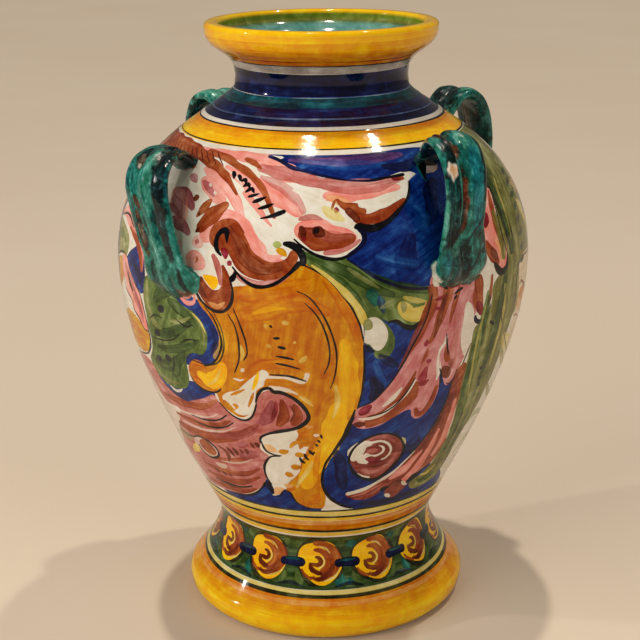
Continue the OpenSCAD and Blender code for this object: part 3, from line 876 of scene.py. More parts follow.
def white_folds(paint):
    """White folds beside the foot of the scroll."""
    paint.follow("""
        patch bare 1 40 -8.4,69.3 -12,68.8 -15.5,67 -18.7,64.6 -20,62 -19.8,58.5 -17.6,56.2 -14.5,55.6
            -12.5,57 -11.4,60 -9.6,63.5 -8,66.5
        patch bare 1 70 -14,55.4 -10,57 -7,60.5 -4.4,62.6 -5.4,60 -6.6,56 -8,52.6 -9,50.5 -11.6,50 -9,48
            -10.6,44 -13,40.6 -15.5,39 -14.4,36.4 -15,35.4 -17,34 -18,31.5 -21,30.4 -20,34.6 -20.9,38.5
            -20.8,44 -20,49 -18.6,52.6 -16.5,54.6
        peach 3.6 0.75 -19.4,60.4 -17.4,58.6 -15.4,57
        ochre 2.8 0.85 -15,57.6 -13,57.6 -11.6,58.6
        ochre 2 0.8 -11,60 -9.6,62.6 -7.4,64 -5,64.6
        ochre 3 0.75 -9.6,56 -8,56.6 -6.4,55.8
        ochre 3.4 0.75 -11.6,49.6 -9.8,49.2 -8,50
        ochre 3.6 0.75 -13.6,46 -12.6,44.6 -11,44
        peach 3.4 0.8 -20,31 -18,34.4 -15.4,35.6
        peach 3.2 0.75 -15,38.6 -13.6,37.4 -12,38
        ochre 2.4 0.6 -7,61.6 -4.6,62.4 -2,61
        orange 3.6 0.6 -7.6,66.6 -5.6,67.4 -4,66.6
        bare 1.8 0.7 -3.4,67.4 -1.6,67.4
        peach 1.8 0.6 -6,73 -4.4,71.6 -3.4,72
        patch bare 1 0 0.6,33 2.4,29 5.5,26 9,24.2 11.5,23.2 8,22.9 3,22.9 -2,23 -0.4,25.5
        line 1.3 -8.2,55.2 -7.6,53 -6.4,51.8
        line 1.3 -6.6,57.4 -6,55 -5.2,53.6
        line 1.3 -5,59.4 -4.4,57.8 -3.6,56.6
        line 1.1 -4,57 -3.2,58.6
        line 1.1 -2.8,62.8 -2.2,61.4
        line 1 -2.2,65 -1.4,63.4
        line 1 -1.2,68 -0.8,65.6
        line 1 -13.6,117 -12.8,116.2
        line 1.3 -12.8,111.8 -11,112
        line 1.3 -11.8,108.4 -9.6,107.8
        line 1 -12.4,104.4 -10,104 -7.6,103.3
        line 1 -12.6,101.3 -9.6,100.6 -6.2,99.2
        line 1 -14.4,96 -9.4,95.9 -4.6,93.8
        line 0.8 -23,122.4 -21.4,116.5 -20.2,110 -20,104.5 -21.2,101.2
        line 0.8 -24.6,120 -22.8,115.5 -22.1,109 -22.5,101.5 -24.4,95
        line 0.75 -6.6,130.6 -3.5,128.3 -0.6,122.6 1.6,115.6 3,108 3.2,101.5 2.6,95 1.6,90.5
        line 0.75 -4.6,126.2 -2,122 0,116.4 1.3,109 1.3,102.5 0,97
        line 1 -6,141 0,136.6 3.6,131.2 6.6,125 8.8,118 10,110.5
        line 1 10,109 10.5,98 10.2,88 9.2,80
        line 1 -40,90 -39,86.4 -36.4,84 -33,83.6 -30.6,85 -29.8,86.4
        line 1 -31.5,79.5 -29,75 -26.5,72.7 -24,72.3 -21.8,74.2 -20.2,78 -19.2,82
        line 1 -20.4,63.8 -19.4,57.8 -17,55.6 -14,55.2
        black 0.8,1.8,1.6,1.8,1.6,0.8 0.95 -19.5,82 -18.5,86 -16.8,89 -14.8,89.7 -13.8,88.2 -11.5,88
            -8.4,85.6 -6,82 -4.6,78 -4.9,75 -7,72 -9.5,70.2 -14,68.4 -17.5,66.6 -20,64.2 -20.6,61
        black 0.6,1.2,1,0.9 0.95 -14.5,55 -17.8,54.2 -20,51 -21.3,47 -21.4,41.5 -20.3,37
        black 0.8,2.4,1.2,1,1.2,1.6,1.2 0.95 8.6,80 7.2,72 5.6,65.6 2.4,57.6 0,51 -1,44 -0.9,38.6 0.6,33.4
            3.2,29 7,25.6 11,23.6
        navy 3.5,3,1 0.9 -22,38.6 -21.2,35 -20.6,31
        black 0.5,1.2,0.8 0.8 -46,24.8 -35,26.4 -29,29.4 -25,33.8 -22.6,38
        black 0.9 0.9 -21.4,30.2 -18,30.4 -15.6,34.2 -13.4,33.4 -12.4,29.8 -10.6,26.4 -7,24.4 -2,24
        navy 0.3,0.8,0.6 0.5 -29,121 -26.6,113 -26.6,105 -29,98.6 -34,95.6
        black 1 0.8 -31.2,121.6 -28.6,117 -27.2,111 -27.3,105.5 -29.4,99.8 -32.4,96.6 -36,96.8 -40,97.8""")


def shoulder_leaf(paint):
    """White and pink shoulder leaf, with rust ribs and hatching."""
    paint.follow("""
        patch bare 1 -35 -88,184 -20,184.1 -15,181.4 -10,178.3 -5,176.6 0,175 6,173.2 14,172.1 20,172.9
            27,174.6 31,173 27.7,170.5 26.4,166 24.6,163 21,159 17,156 13,154.3 10,154.3 8.6,153.6 10,151
            10.4,148.5 9,146 6,143.8 2.6,142.5 -1,143.2 -4.6,145.6 -7.6,149 -9,147 -7,143 -10,137 -14,132.5
            -19,132 -23,136 -25,130 -28,123 -33,124 -35.4,129 -38,133 -42,150 -60,164 -72,165 -88,162
        pink 2,4,7,8,3 0.9 -44,183.4 -30,182.6 -20,180.6 -10,175.4 -1,172.4
        pink 3,3.6,3.4,1.4 0.95 -54,182.2 -42,182.6 -30,182.4 -20,181.4
        rose 3,6,5,5,6,4,1.5 0.8 -22,178 -14,176 -6,173.4 0,171.6 8,170.4 16,170.6 24,171.6
        pink 2,4,8,7,3.5 0.95 -34,177 -24,171 -16,167.5 -10,163 -5.5,158.6
        rose 1,4.5,4,2 0.55 -20,174 -12,169.6 -7,164 -5,159
        pink 2,5,4.5,2 0.9 -42,175 -32,169.5 -26,163.5 -21.5,155
        pink 1.5,3,2,0.8 0.9 -24,167 -19,161.5 -15.5,156.5 -13.6,154
        rust 3,3.4,3.2,3,2.6,2.2,1.4 0.8 -46,182.4 -36,181 -30,178 -25,175.4 -20,171 -17,166.6 -14.4,160.4
            -13,157
        rust 3,4.2,3.6,2.2,1 0.8 -46,178.6 -38,176.6 -33,173.4 -29,169.6 -25.6,165.2
        rust 1.4,2.8,0.8 0.7 -28,181.5 -24,179.8 -20.4,177.2
        pink 4,6.4,5,2 0.9 0,166 8,166.6 16,167.6 24,168.4
        rose 2,3,4,1.6 0.6 -2,171 6,168.4 15,168.6 25,171.4
        crimson 2.2 0.8 22,172 24,171.8 25.6,171.6
        rust 2.4 0.8 24,172.6 26.4,171.4
        peach 4 0.6 1,166 6,163.4 9,160
        rust 1,3,5,5 0.85 4,165 5.6,162.4 9,160.6 12,158.6
        rust 3.4,4.6,4,1.4 0.95 8,157.4 13,156.6 18,158.6 24.6,163.2
        brown 2.4,3.6,2.4 0.85 6.4,161 8.2,158.6 9.8,156
        crimson 2.6 0.7 3,160.6 4.6,160.4
        rust 1.2 0.7 2.4,160.4 3.2,163.4 3.8,164.8
        straw 4 0.5 0,162 1.6,160 6,156.4
        pink 3.2 0.9 0,155.4 3.4,152.6 7.6,151.6
        pink 6,11,10.5,5 0.95 -7.6,153.4 -3,152.4 3,149.8 9,149.4
        rust 5.5,8.6,6,3 0.95 -6.4,152.4 -1,149.6 4,148.8 8.6,150.2
        rose 1.6,1.8,1.6,1 0.85 0,144.6 4,144.9 8,147.4 9.8,149.2
        rose 2,4.4,2 0.3 -4,152.6 2,150.6 8,150.6
        rose 2.6 0.7 -6.6,157 -3,158 0,157
        brown 3 0.8 -6,154.6 -5,151.6 -5.6,150
        brown 4.4 0.8 -2.6,154 -1.2,152.4 0.6,151
        black 3.4 0.5 -2.4,153.6 -1,152.2
        crimson 2 0.7 -5.4,150.6 -4.4,149
        bare 2,3,2.6,2,1 0.95 10,162.4 15,161.4 20,163 24.6,166.6 26.6,170.4
        bare 1,3,2 0.85 -9,169 -4,166.4 1,163.6
        bare 0.8 0.7 -34.6,176.4 -28,172.6 -24,168
        black 1.7 0.93 -30.2,175.2 -29,173.4 -28.6,171.6
        black 1.5 0.93 -27.8,173.8 -26.6,172.6 -26.2,171
        black 1.6 0.93 -26,171 -24.6,172 -23.8,169.8
        black 1.7 0.93 -24.6,168.8 -23.2,170.2 -22.2,168.4
        black 1.7 0.93 -23.4,166.6 -21.6,168.4 -20.4,166.6
        black 1.4 0.93 -22.2,164.8 -19.8,166 -18.6,166.6
        black 1.8 0.93 -20.4,162.8 -18.4,164 -16.4,165.4
        black 1.6 0.93 -18.4,160.4 -16.2,161.4 -13.9,162.8
        black 0.6,1.3,1.8,1.6 0.93 -17.2,156.8 -14,158 -10.2,160.2
        rust 8,7,7,7,6,3 0.85 -92,177 -80,182 -68,182.6 -56,182 -46,179.8 -40,177.4
        rose 6,7,6,3 0.8 -84,170 -70,174 -58,175.5 -48,173
        rust 1,4,2 0.6 -62,177 -54,176.4 -46,174""")
    for azimuth in range(-74, -40, 3):
        paint.line(f"{azimuth},183 {azimuth + 2.5},180.4 {azimuth + 6},177", 0.55, "brown")


def rust_curls(paint):
    """Rust curls between the shoulder leaf and the scroll."""
    # The two tiny bare strokes in the mauve wash near the left handle's upper end are painted glints of
    # light.
    paint.follow("""
        pink 7,9,8,9,10,9,5 0.95 -33,146 -30,154 -25,155 -20.5,149 -16.5,141 -13,138.5 -9,140.6
        mauve 3,6,5,2 0.75 -50,163 -45,162.4 -41,160 -38.6,157
        mauve 4,5,2.4 0.75 -46,152 -41,150.6 -37.6,147.6
        pink 3,6.4,6.4,2.4 0.85 -40.4,170.6 -37,168.4 -33,165 -28.6,161
        mauve 1,3.6,1 0.45 -39.6,169.4 -36.4,167 -33,163.6
        bare 1.2 0.8 -36.6,168.6 -35.4,167.4
        bare 1.4 0.8 -33.8,165.6 -32.6,164.4
        pink 3,8,8,4 0.6 -50,164 -46.4,160 -43,156 -41,151
        mauve 2,5,2 0.4 -49,161 -45,157.4 -42,153
        mauve 3 0.5 -46,171 -43.6,169.6 -41.6,168
        mauve 3 0.5 -50,157 -46,156 -43,153.6
        brown 3.2 0.9 -39.8,163.2 -39.2,161.8 -39.3,160.4
        rust 1.2,4,2 0.85 -36.8,154.6 -35.2,158.4 -33.6,162.4
        rust 4.4,7,3 0.85 -35.2,149.4 -32.4,155 -27.6,161.8
        brown 1.8 0.8 -36.6,155.4 -35.8,156.6
        brown 2.6 0.85 -35.8,150.4 -34.8,149.2
        crimson 3 0.75 -35.4,145.8 -34,145.4""")
    paint.dab("pink", "-34.4,145.6", 6, 5, 0.5)
    paint.dab("pink", "-34.4,138.4", 9.5, 7.4, 0.85, tilt=-10)
    paint.follow("""
        rust 1.2 0.6 -34.2,140.2 -33.8,138.8 -34.4,137.6""")
    paint.dab("pink", "-40.6,141", 4, 9, 0.5)
    paint.follow("""
        patch rust 0.96 -50 -31.2,150 -30,153.6 -27,155.7 -24,155.4 -21.4,152 -19.4,147.6 -17.4,144
            -14.6,141.4 -12,141 -9.4,142.4 -8.2,145.2 -6.8,145.6 -6.2,143 -7.2,139.6 -9.4,136.4 -12.6,134.2
            -16,134 -19.6,135.2 -22.4,138 -25,143 -28,143.6 -30.6,146
        pink 0.8,2.6,2.4,1 0.95 -21,151 -19,148 -16.8,144.6 -13.6,142.6 -10.4,143.4
        brown 2,4,5,3 0.4 -26,153 -22,147 -19,141.4 -15,138 -10,139.6
        brown 1,3,3,1.2 0.35 -24,148 -21.4,142 -17.6,137.8 -13,137
        rose 2,2.6,2.4,1.4 0.95 -23,136.4 -20,133.6 -16,132.6 -11.6,133.6 -8.4,136.6
        ochre 2.8 0.85 -12,145.6 -10.4,144.8 -9.2,143.2
        lime 2.8 0.5 -13,147.6 -11.6,147.4 -10.6,147.2
        rose 1.6,2.6,2.4,1.4 0.95 -29.4,142 -27.8,138.6 -26.8,134 -26.4,130.6
        crimson 3.2 0.85 -26.8,144.6 -25.6,142.6 -25.4,140.6
        crimson 2.2 0.6 -24.8,140 -23.6,138.6
        rust 1.4,3,4 0.95 -26.2,138.4 -25,134 -24.6,129
        patch rust 0.96 60 -33.4,131.6 -31.6,132 -30.6,130.6 -28.6,128.6 -26.6,129.4 -25.6,132.6 -24,132
            -23.3,127.4 -24.2,123 -26.8,120.8 -29.6,121.4 -31.8,124.2 -33,127.6
        brown 3 0.6 -33,130.8 -32.2,127.4 -30.4,125
        peach 2.2 0.7 -30,123.4 -27.4,122.2 -25.2,124.4
        patch yellow 1 10 -31.8,133.4 -29.6,133.9 -27.6,133.4 -27.1,131 -28.4,128.6 -30,130.2
        pink 1,2,1.6,1 0.9 -39.6,123.8 -37,121.6 -34.6,122.4 -34.2,126
        rust 1.6 0.8 -39,124.8 -36.6,124 -34.8,125.4
        black 0.7,2.4,2.2,2,0.7 0.95 -25.6,146.6 -26,150.2 -26.6,151.4 -28.2,150 -28.8,147 -28.2,143.8
            -26.6,141.6
        black 2,1.4,1.3,1.6,1.2,0.7 0.95 -5.6,141.4 -8.4,137 -11.8,133.2 -15,131.6 -18,132 -21,134.6
            -23.4,138.2
        black 1,2.2,2.4 0.95 -22.4,136.4 -22.9,134.2 -24,132.8
        black 0.7,1.3,1,1.2,1.5,1.2,0.7 0.94 -34.4,130 -33.6,126.4 -31.6,122.8 -28.6,120.4 -25.6,120.8
            -23.6,124 -23,128.4 -23.6,132.6
        brown 2 0.9 -33.2,132 -31.4,131.8""")


def laid_leaf(paint):
    """Green leaf laid between the shoulder leaf and the scroll, and blots on the blue."""
    # The bare stroke with a thin brown wash over it, beside the right handle's upper seat, is bare glaze
    # with painted shade under the strap's arch.
    paint.follow("""
        patch leaf 1 -55 -5.4,146 -3.4,144.4 0,142.8 5.4,142.7 9,139 14,134.6 19,131.2 23.6,129.6 27.8,129.2
            28,125 27,120 25.6,117 22.6,115 20.4,115.4 18.6,117.2 16,117.8 14.4,119.2 15.6,117 17.2,114
            18.2,110 18,106 16.6,103 14.6,102.4 13,103.6 12.6,106.4 11.4,108.6 10.2,109.6 10,116 7.6,123.6
            4,130.6 0,136.6 -4,140.4 -4.6,142.6
        green 1.5,4,5,4,2 0.7 -5,144.6 1,140.6 7,136.6 13,130.6 18,127.6
        green 1,3,3,1 0.55 0,138.8 5,133 8.6,126.6 9.8,121
        green 1,3,3.4,3 0.8 10,138 16,132.6 22,129.6 27.4,127.6
        straw 0.8,1.6,2.6,3,3 0.9 -3,140.4 1.4,135.6 5.6,129.4 8.6,123.4 10.4,117
        teal 4,5,3 0.75 11,130.6 12.6,127 13,124
        cobalt 3 0.55 13.8,128 14.6,124 15,121
        sage 2 0.6 6,139 10,134.6 14,130.8
        sage 2.4 0.5 14,123 17,125 19.6,126
        straw 3,6,6,3 0.9 19,124.6 22,119.6 25,119.4 26.6,122
        straw 2.4 0.6 20,126.6 23.6,124.6 26.4,123.8
        sage 2.4 0.8 19.8,125 20.4,122 20,120.4
        peach 1 0.7 26.6,124 25.8,120 24.4,117.4
        green 2 0.6 13.6,104.6 16,104.2 17.2,107.6 17,112
        patch bare 0.9 0 10.4,118.6 12.4,120 14.4,118.4 16,114.6 16.2,110.8 15.4,107.6 14,106 12.6,107
            11.6,109 10.2,110 10.2,114""")
    paint.dab("sage", "11,117", 4, 4.6, 0.75)
    paint.follow("""
        navy 2.2 0.8 10.4,108.6 11.4,107 13,105.6
        black 0.8,1.6,2.4,2.2,2,1.6,1.2,0.7 0.95 16,117.4 18.4,117.4 20.4,115.2 23,114 25.6,116 27.4,119.6
            28.2,124 28.3,129 28.9,131
        black 1.6,2.6,2.6,3,2.4 0.97 -10.4,147.9 -8,147.4 -6,145.4 -5,142.4 -5.2,139.8
        black 0.6,1.1,1.3,1.3,1 0.95 -7.6,149.8 -5,146.6 -1.4,143.7 2.4,142.3 5.6,142.9 8.4,145
        navy 0.6,1.3,1.2,1 0.85 6,142.2 10,138 14,134.2 19,130.8 24,129 28,128.6
        black 1.4,3.2,2.4,1.8,1.2,1.2,0.8 0.92 8.4,153.2 9.6,154.6 11.4,153.4 14,153.1 18,155.4 22,159.4
            24.6,162.4 26.4,166 27.6,170.4
        navy 2.2,2.2,1.4,0.9 0.92 9.4,153.6 10.6,151.6 10.7,148.8 9,146 6,143.4
        navy 1.4,1.8,1.3,0.9,1.2,1.2 0.85 -19.6,183.6 -15,181.6 -10,178.4 -5,176.6 0,174.8 6,173 14,171.9
            20,172.6 27,173.4
        black 0.6,1.2,1.1 0.9 14,172 20,172.6 27,173.2
        mauve 1.5,4,5,5,2 0.28 -12,182 -2,181.6 8,181.4 20,182 30,182.6
        azure 2,5,5,2 0.35 -8,181.6 4,179.4 14,179 24,178
        navy 2,5,3 0.6 20,178 28,176.6 34,179
        navy 2,6,6,3 0.5 29,152 32,158 33,164 37,170
        azure 3,7,4 0.3 26,160 28,156 27,150
        navy 3,8,4 0.2 24,150 22,142 24,136
        azure 2,5,3 0.35 13,143 19,140 25,138
        navy 3,6,3 0.75 12.6,95 14.6,88 12.4,84
        navy 4 0.5 14,104 18,100 20,98
        azure 2,4.5,4,1.5 0.35 22,110 23,106 24,101 21,95
        azure 2,4,2 0.5 13,102 14.6,96 16.4,91
        navy 2,5,5,3 0.45 3,60 5,52 5.6,44 7,36
        navy 3 0.5 12,43 18,40 22,40
        navy 2,4,4,2 0.5 14,26 24,25 34,26 44,25
        navy 4 0.5 26,58 30,54 32,60
        navy 4 0.5 -60,130 -57,126 -56,122
        navy 2.4 0.4 -29.6,116 -28.6,108 -31,101
        bare 3,8,7 0.85 33.4,173.4 37,176 41.4,176.4
        brown 3,8,7 0.14 33.4,173.4 37,176 41.4,176.4
        teal 5,4,2.6,1 0.97 35.4,178 34.2,174.6 33.6,171.6 33.4,169
        black 4,3,1.8,0.8 0.85 35.6,177.6 34.4,174.4 33.8,171 33.6,169.6""")


def hanging_leaf(paint):
    """Pink leaf hanging from the right handle."""
    paint.follow("""
        patch blush 1 60 8.8,75.6 9,80 13.6,83 17.5,89.6 20.5,96.6 23,104.6 25.5,112 27.4,119 28.4,126
            27.6,131 30,134 38,134 46,132 45.6,124 44,118 42.6,112 42.4,104 41.4,97 40,91.6 38.2,86.6
            36.6,84.6 35,87.4 33.8,92 32.6,97 33.2,90 34,84 33,77 31,72.6 28.4,71 26.4,73 25.6,76.4
            23.6,76.4 20,73.6 16,70.6 12,69.8 9.6,70.6 8,73
        rust 4,5,5,4,2,0.8 0.75 28,130 28.6,124 26.6,117 24.4,110 21.6,102 19.6,95
        rust 4,5,4,3,1.5 0.8 33.4,130 32.8,124 31,117 29.4,110 28.2,106
        brown 1.4,2.2,2,1 0.6 32.8,126 31.6,121 30.4,114 29.4,108
        rust 1.6,2.4,2,1 0.8 37,127 35.4,121 34.4,116 34,113
        crimson 3 0.5 30.4,129 34,128.4 37,127.6
        crimson 1.6 0.6 29,123.6 31,124 33,124.4
        crimson 1.2 0.7 29.2,120 31,120.2
        rust 4,5,4,2 0.75 44.6,130 43.4,124 43,119 44.4,115
        rose 2,4,2 0.5 30,104 27.4,96 26.6,90
        rust 1.6 0.7 28,104 27.2,100 26.4,97.6
        crimson 3.4 0.5 26.6,106.8 28,106.2
        crimson 3 0.5 28.8,99.4 28.6,97.4
        crimson 1.6,3,5 0.5 28.4,96 27.6,91.6 27.6,89.4
        crimson 2.6 0.55 26,89.2 28.2,88.4 29.8,89.8
        crimson 3.4,4,1.4 0.65 9.6,77.6 11,78.6 13.2,81.6
        rust 1,2.4,3,2.4,1 0.9 25.2,95 23.4,88 20.4,81.6 16.6,77.2 12,75.4
        rust 2.4,5.4,5,5,4 0.9 26,90 24.8,83 21.6,78.4 16.8,74 11.4,72
        brown 3 0.75 8.2,72.4 10,72.2 12,72.2
        bare 0.8,2.4,1 0.85 21.6,88.4 19.4,83.8 16.4,80
        bare 0.8,0.9,1,1.6,1.6,0.8 0.85 25.6,91 23.4,84.8 20,80 15.6,75.6 11,74.8 9.6,75.4
        rust 1.6,3,2.6,2.6,1.6 0.9 27,77 28.4,73.4 30.6,74 32.2,79 33.2,86
        rust 1,3,3 0.8 33.8,103 34.4,99.4 35.4,96
        brown 3,5,2 0.8 33.6,94 35.2,91.6 36.6,88.4
        brown 3 0.4 36,94 36.8,97 36.4,92
        bare 1.2,1.4,1,1.2,1.8,1 0.9 33.6,108 33.2,105 31.8,102 31.8,97 32.6,92 32.4,88.6
        rose 3,6,7,4 0.35 36,120 37.6,110 37.4,100 38.4,92
        bare 2.4 0.9 30.6,131 29.4,129.4 28.6,131.6
        patch bare 0.95 0 39.2,119.6 41,119 42.4,115 43,109 43,102 41.6,96.6 40.4,98 38.8,103 38.6,111
        patch bare 0.95 0 43.6,131 49,131.6 48.6,126 48,120 47.4,115 46.2,112.6 45,117 44.8,124
        rust 4.5,5,4,2 0.8 43.4,130 44,124 44.6,118 45.4,113.6
        crimson 2,4,2 0.8 43.6,119 44.6,115.6 45.6,112.6
        rust 2,3,1.4 0.85 49.4,128 49,121 47.8,115
        navy 1.4,2.2,2,1.8,1.3,0.8 0.9 42.9,113.4 43.6,111 46,109.8 48.4,111.4 49.8,116 50.2,122 49.8,128
        line 0.8 9,80.6 13.4,83.4 17.4,90 20.2,97 22.8,105 25.3,112.4 27.2,119.4 28.2,126
        line 0.8 36,86 38.2,85.2 40.4,89.6 41.8,95.4 42.8,101.6
        line 0.8 33.4,109 34,104 35,99
        line 0.8 34,84.4 33.8,90 32.8,94
        line 0.8 12.4,75.6 17,77.2 20.6,80.6 23.4,86 25.2,92
        line 1.3 34.4,127.4 36.4,128.6 38.2,129.6
        line 1.3 35,124.4 36.6,125.6 38,126.2
        line 1.3 33,127 31.6,128.4
        line 1.3 35,122.4 36,123.8""")


def shell_ball(paint):
    """Ball of rust and rose, wound like a shell."""
    paint.follow("""
        patch rust 0.85 0 8.2,55 9.6,60 12.6,63.8 16.6,65.7 20.4,65 23.8,62 25.8,57.4 25.9,52.4 24,47
            20.8,42.6 17.4,41 13.8,42.6 10.6,46.4 8.6,51
        rose 2.4,4,3.4,2 0.5 12.4,47 16,44.6 20,45.4 23,49.6 24.4,55
        rose 1.8 0.5 12,63 16,64.6 20,63.4 23,60
        bare 2.4,6.4,6,2 0.95 9.4,52.4 9.8,57.4 12.4,61.4 15,61
        bare 1.6,1.2,1,1,0.7 0.9 13.6,61.6 17.6,62.2 20.6,59.8 21.8,56 20.4,52.4 17.4,51.4
        bare 4,5,1.4 0.95 10.6,55.6 12.4,53 14.4,50.4
        bare 1.4,1.3,1.2,1,0.8 0.9 12.8,56.2 15,54.6 17.2,54.6 19,56.2 18.8,58.6 17,60.4
        rose 2,3.6,2 0.85 13.4,57 15.6,57.4 17,57.6
        crimson 1.4,3,1.2 0.7 13.4,53.6 15.6,52 19,52
        crimson 1.4 0.5 14.2,50.4 17,50.4 20,51.2
        brown 1 0.7 14.4,54.2 16.4,53.6
        brown 1.3 0.5 12.4,49.6 15,48.2 19,48.2 22,49.4
        brown 0.9 0.4 11.4,46.6 15,43.6 19.6,43.6
        bare 0.6,1.4,1.6 0.9 10.6,45.4 13,43.2 16,41.6
        brown 1.3 0.5 16.2,60.4 18.4,60.2 20,58.4
        black 1,1.2,1,1.2,1.8,1.6,1.2 0.85 8,50.6 7.9,55.6 9.6,60.6 13,64.6 17,66.2 21,65.2 24.4,61.8
            26.4,57 26.3,51.8 24,46.2 20.4,41.6 17,40.4 13,42.2 9.8,46 8.2,50
        straw 1.2 0.6 24.8,62.4 26,60.6 26.8,58""")


def rising_leaf(paint):
    """Rust and pink leaf curling up along the lower right."""
    paint.follow("""
        patch rust 0.9 55 7.6,32.6 10,34 15,35.8 20,39.2 25,43.6 29,49.6 33,57 36,66 38,76 38.4,86 39.6,91
            42.6,93 44.6,84 45,70 45.4,62 46,54 45,48 42.6,42 38,39 34.6,35.4 33.4,31.6 31,28.4 28.4,26.4
            25.4,27.4 23.6,30 24,32.6 22.4,32.8 20.4,30.4 16.4,28.3 12,28.8 9,30.6
        pink 2,5,5,1.5 0.85 24,38.6 30,43.6 33,48 35,52
        pink 3,5,5,5,2 0.85 30,36 33,38 36,44 38,52 39.4,62
        pink 2,4.6,4,1.5 0.75 41,46 43,54 43.4,64 42.4,76
        rust 1,1.8,1.8,1 0.8 29.6,37 33,44 36,52 38.6,62
        rust 1,2.4,2.4,1.2 0.7 38.6,44 40.6,52 41,62 40.6,74
        brown 1,2.4,2.4,1 0.35 33,52 36,60 38,70 39,80
        bare 2.2,2.4,1.6,1.8,1.3,0.9,0.5 0.95 7.8,32.8 10.6,33.4 15,35 20,38.6 24.6,42.4 28.4,47.6 31.6,53
        pink 1.3 0.5 10,31 15,32.4 19,35 22,37
        rose 2 0.4 16,30.4 20,33 24,36.6
        brown 1.4,3.6,4,2 0.5 25,33.6 27.2,35.6 29.4,34.6 30.6,31.6
        bare 1.4,2.4,1 0.9 24.2,29.6 25.6,28.4 27,27
        bare 1,2.2,1 0.75 30.4,35.4 32,33.6 33.6,32.2
        brown 1.6 0.8 35.6,51 35.9,50
        bare 0.8,1.6,1.6,0.8 0.75 43.6,84 44.6,74 45.2,62 45.6,54
        brown 1.4 0.7 39.8,74.6 40.4,73.4
        line 0.9 32.6,34.6 35,36.4 38,38.8 42,41.6
        line 0.9 45.8,50 46.8,54 46.4,60 45.6,64
        line 0.9 39.4,91.4 38.6,84 38.3,76 36.4,66 33.2,57 29.2,49.8
        black 3,2.4,0.8 0.8 21.4,33 23.4,33.2 25.4,34.4
        black 2,3.6,1 0.75 33,33.4 35.6,36.6 39,38.6""")


def olive_leaf(paint):
    """Striped olive leaf down the right, over a pale ground."""
    paint.follow("""
        patch bare 1 80 50,132 58,184 88,184 92,120 88,60 84,24 60,24 54,40 50,60
        patch olive 1 85 44,184 57.5,160 56.5,150 57,140 57.5,132 52.6,126.6 49.8,123 49.6,116 47,110
            43.5,108 43,98 43.2,84 44.5,70 45.6,60 45.6,52 43.5,43 40,37 36,34.4 34.6,32 37,28.6 42,27.6
            47,28.6 52,31 54,40 55,52 57,58 60,70 62,82 62.6,94 64,104 67.5,107 66.5,118 66,127 75,129
            92,129 92,184
        patch peach 0.28 0 66.5,127 75,129 84,126 88,114 84,100 80,88 73,84 68,92 66,104
        leaf 2,5,6,6,5,2 0.7 48,122 46,104 46,86 47,70 48,56 46,44
        green 4,6,6,5,3 0.75 61.5,182 61,168 59.5,156 59.6,144 61,132
        green 2,5,6,5,4,2 0.7 57,130 55,118 53.6,106 53,94 52,82 51.6,70
        moss 1,2.6,2.4,1 0.6 59.4,168 58.4,156 58.6,144 60,132
        moss 1,2,1 0.5 61.6,150 62,142 62.6,134
        straw 0.8,1.6,1.4,0.6 0.4 65,163 62,155 61.5,145 61,138
        green 3,5,2 0.5 66,182 66,172 64,164
        sage 3,7,6,2 0.6 84,178 76,176 70,170 66,160
        sage 3,4,4,2 0.55 66,158 64.6,148 64.4,138 65,130
        straw 0.8,1.6,1.6,0.8 0.4 47,116 45.4,100 46.6,86 48.6,74
        green 1,2.6,2.6,1 0.6 44.4,106 44.4,94 45,82 46.4,70
        sage 2,4,4,4,2 0.55 50,112 49.6,98 50,84 51,70 50,58
        green 2,3,1 0.6 48.4,120 47.6,108 48,98
        straw 0.8,2.6,2.6,0.8 0.5 56,122 56.6,110 56.4,98 56,86
        green 1.5,4,2 0.6 53,66 53.4,54 52,42
        moss 1,1.8,1 0.5 49.4,66 49.4,56 48,46
        green 1,3.4,2 0.7 38,33.6 43,31.6 48,34
        straw 0.8,1.8,0.8 0.7 39,36 42.6,35.6 46,39
        sage 1,2.4,1 0.6 38,30.6 44,29.6 49,32
        straw 3,9,10,8 0.7 74,150 78,144 84,138 90,134
        peach 2,7,7 0.5 76,158 82,154 90,150
        straw 3,10,9,3 0.55 60,98 65,91 69,85 73,79
        sage 1.5,3,3,1.5 0.6 59,94 65,87 71,80 78,74
        olive 1,3.4,3,1 0.45 60,76 65,69 71,64 78,60
        leaf 1,3.4,3,1 0.4 56,56 60,60 65,59 72,54
        sage 1.5,4,4,2 0.4 58,40 64,46 70,44 78,40
        peach 9,12,12,8 0.9 67.4,111 71,110 75,108 80,104
        orange 4,6,6,4 0.55 67.4,113.6 71,112 75,109 80,105
        brown 0.8,1.4,1.4,1,0.8 0.75 67,117 68.6,118 71,116.4 76,112.4 82,108
        brown 0.6,1.2,0.6 0.5 66,104 70,102.6 76,98""")
    for place, width in (("77,162.5", 8), ("75,158", 9), ("72.5,153.5", 8), ("71.5,148.5", 8),
                         ("70.5,143.5", 7.5), ("69.5,138", 7), ("69,132.5", 6.5), ("68.5,127.4", 6)):
        paint.dab("green", place, width, 2.8, 0.7, tilt=8)
        paint.dab("brown", place, 0.6 * width, 1.2, 0.4, tilt=14)
    paint.follow("""
        line 0.8 56.4,120 55.6,110 57.6,104
        line 0.8 57.8,132 56.4,146 57.6,158
        line 0.8 64.6,126 64,118 65.4,107
        line 0.8 61,98 66,91 72,85 80,80
        line 0.8 64,126 70,128 78,127.4 90,127
        line 1.6 50,108.4 52.6,106
        line 1.6 50.4,87.4 52,86.4
        line 1.6 51.2,82.6 52.8,81.4
        line 1.6 52.4,78.4 53.8,77.4""")


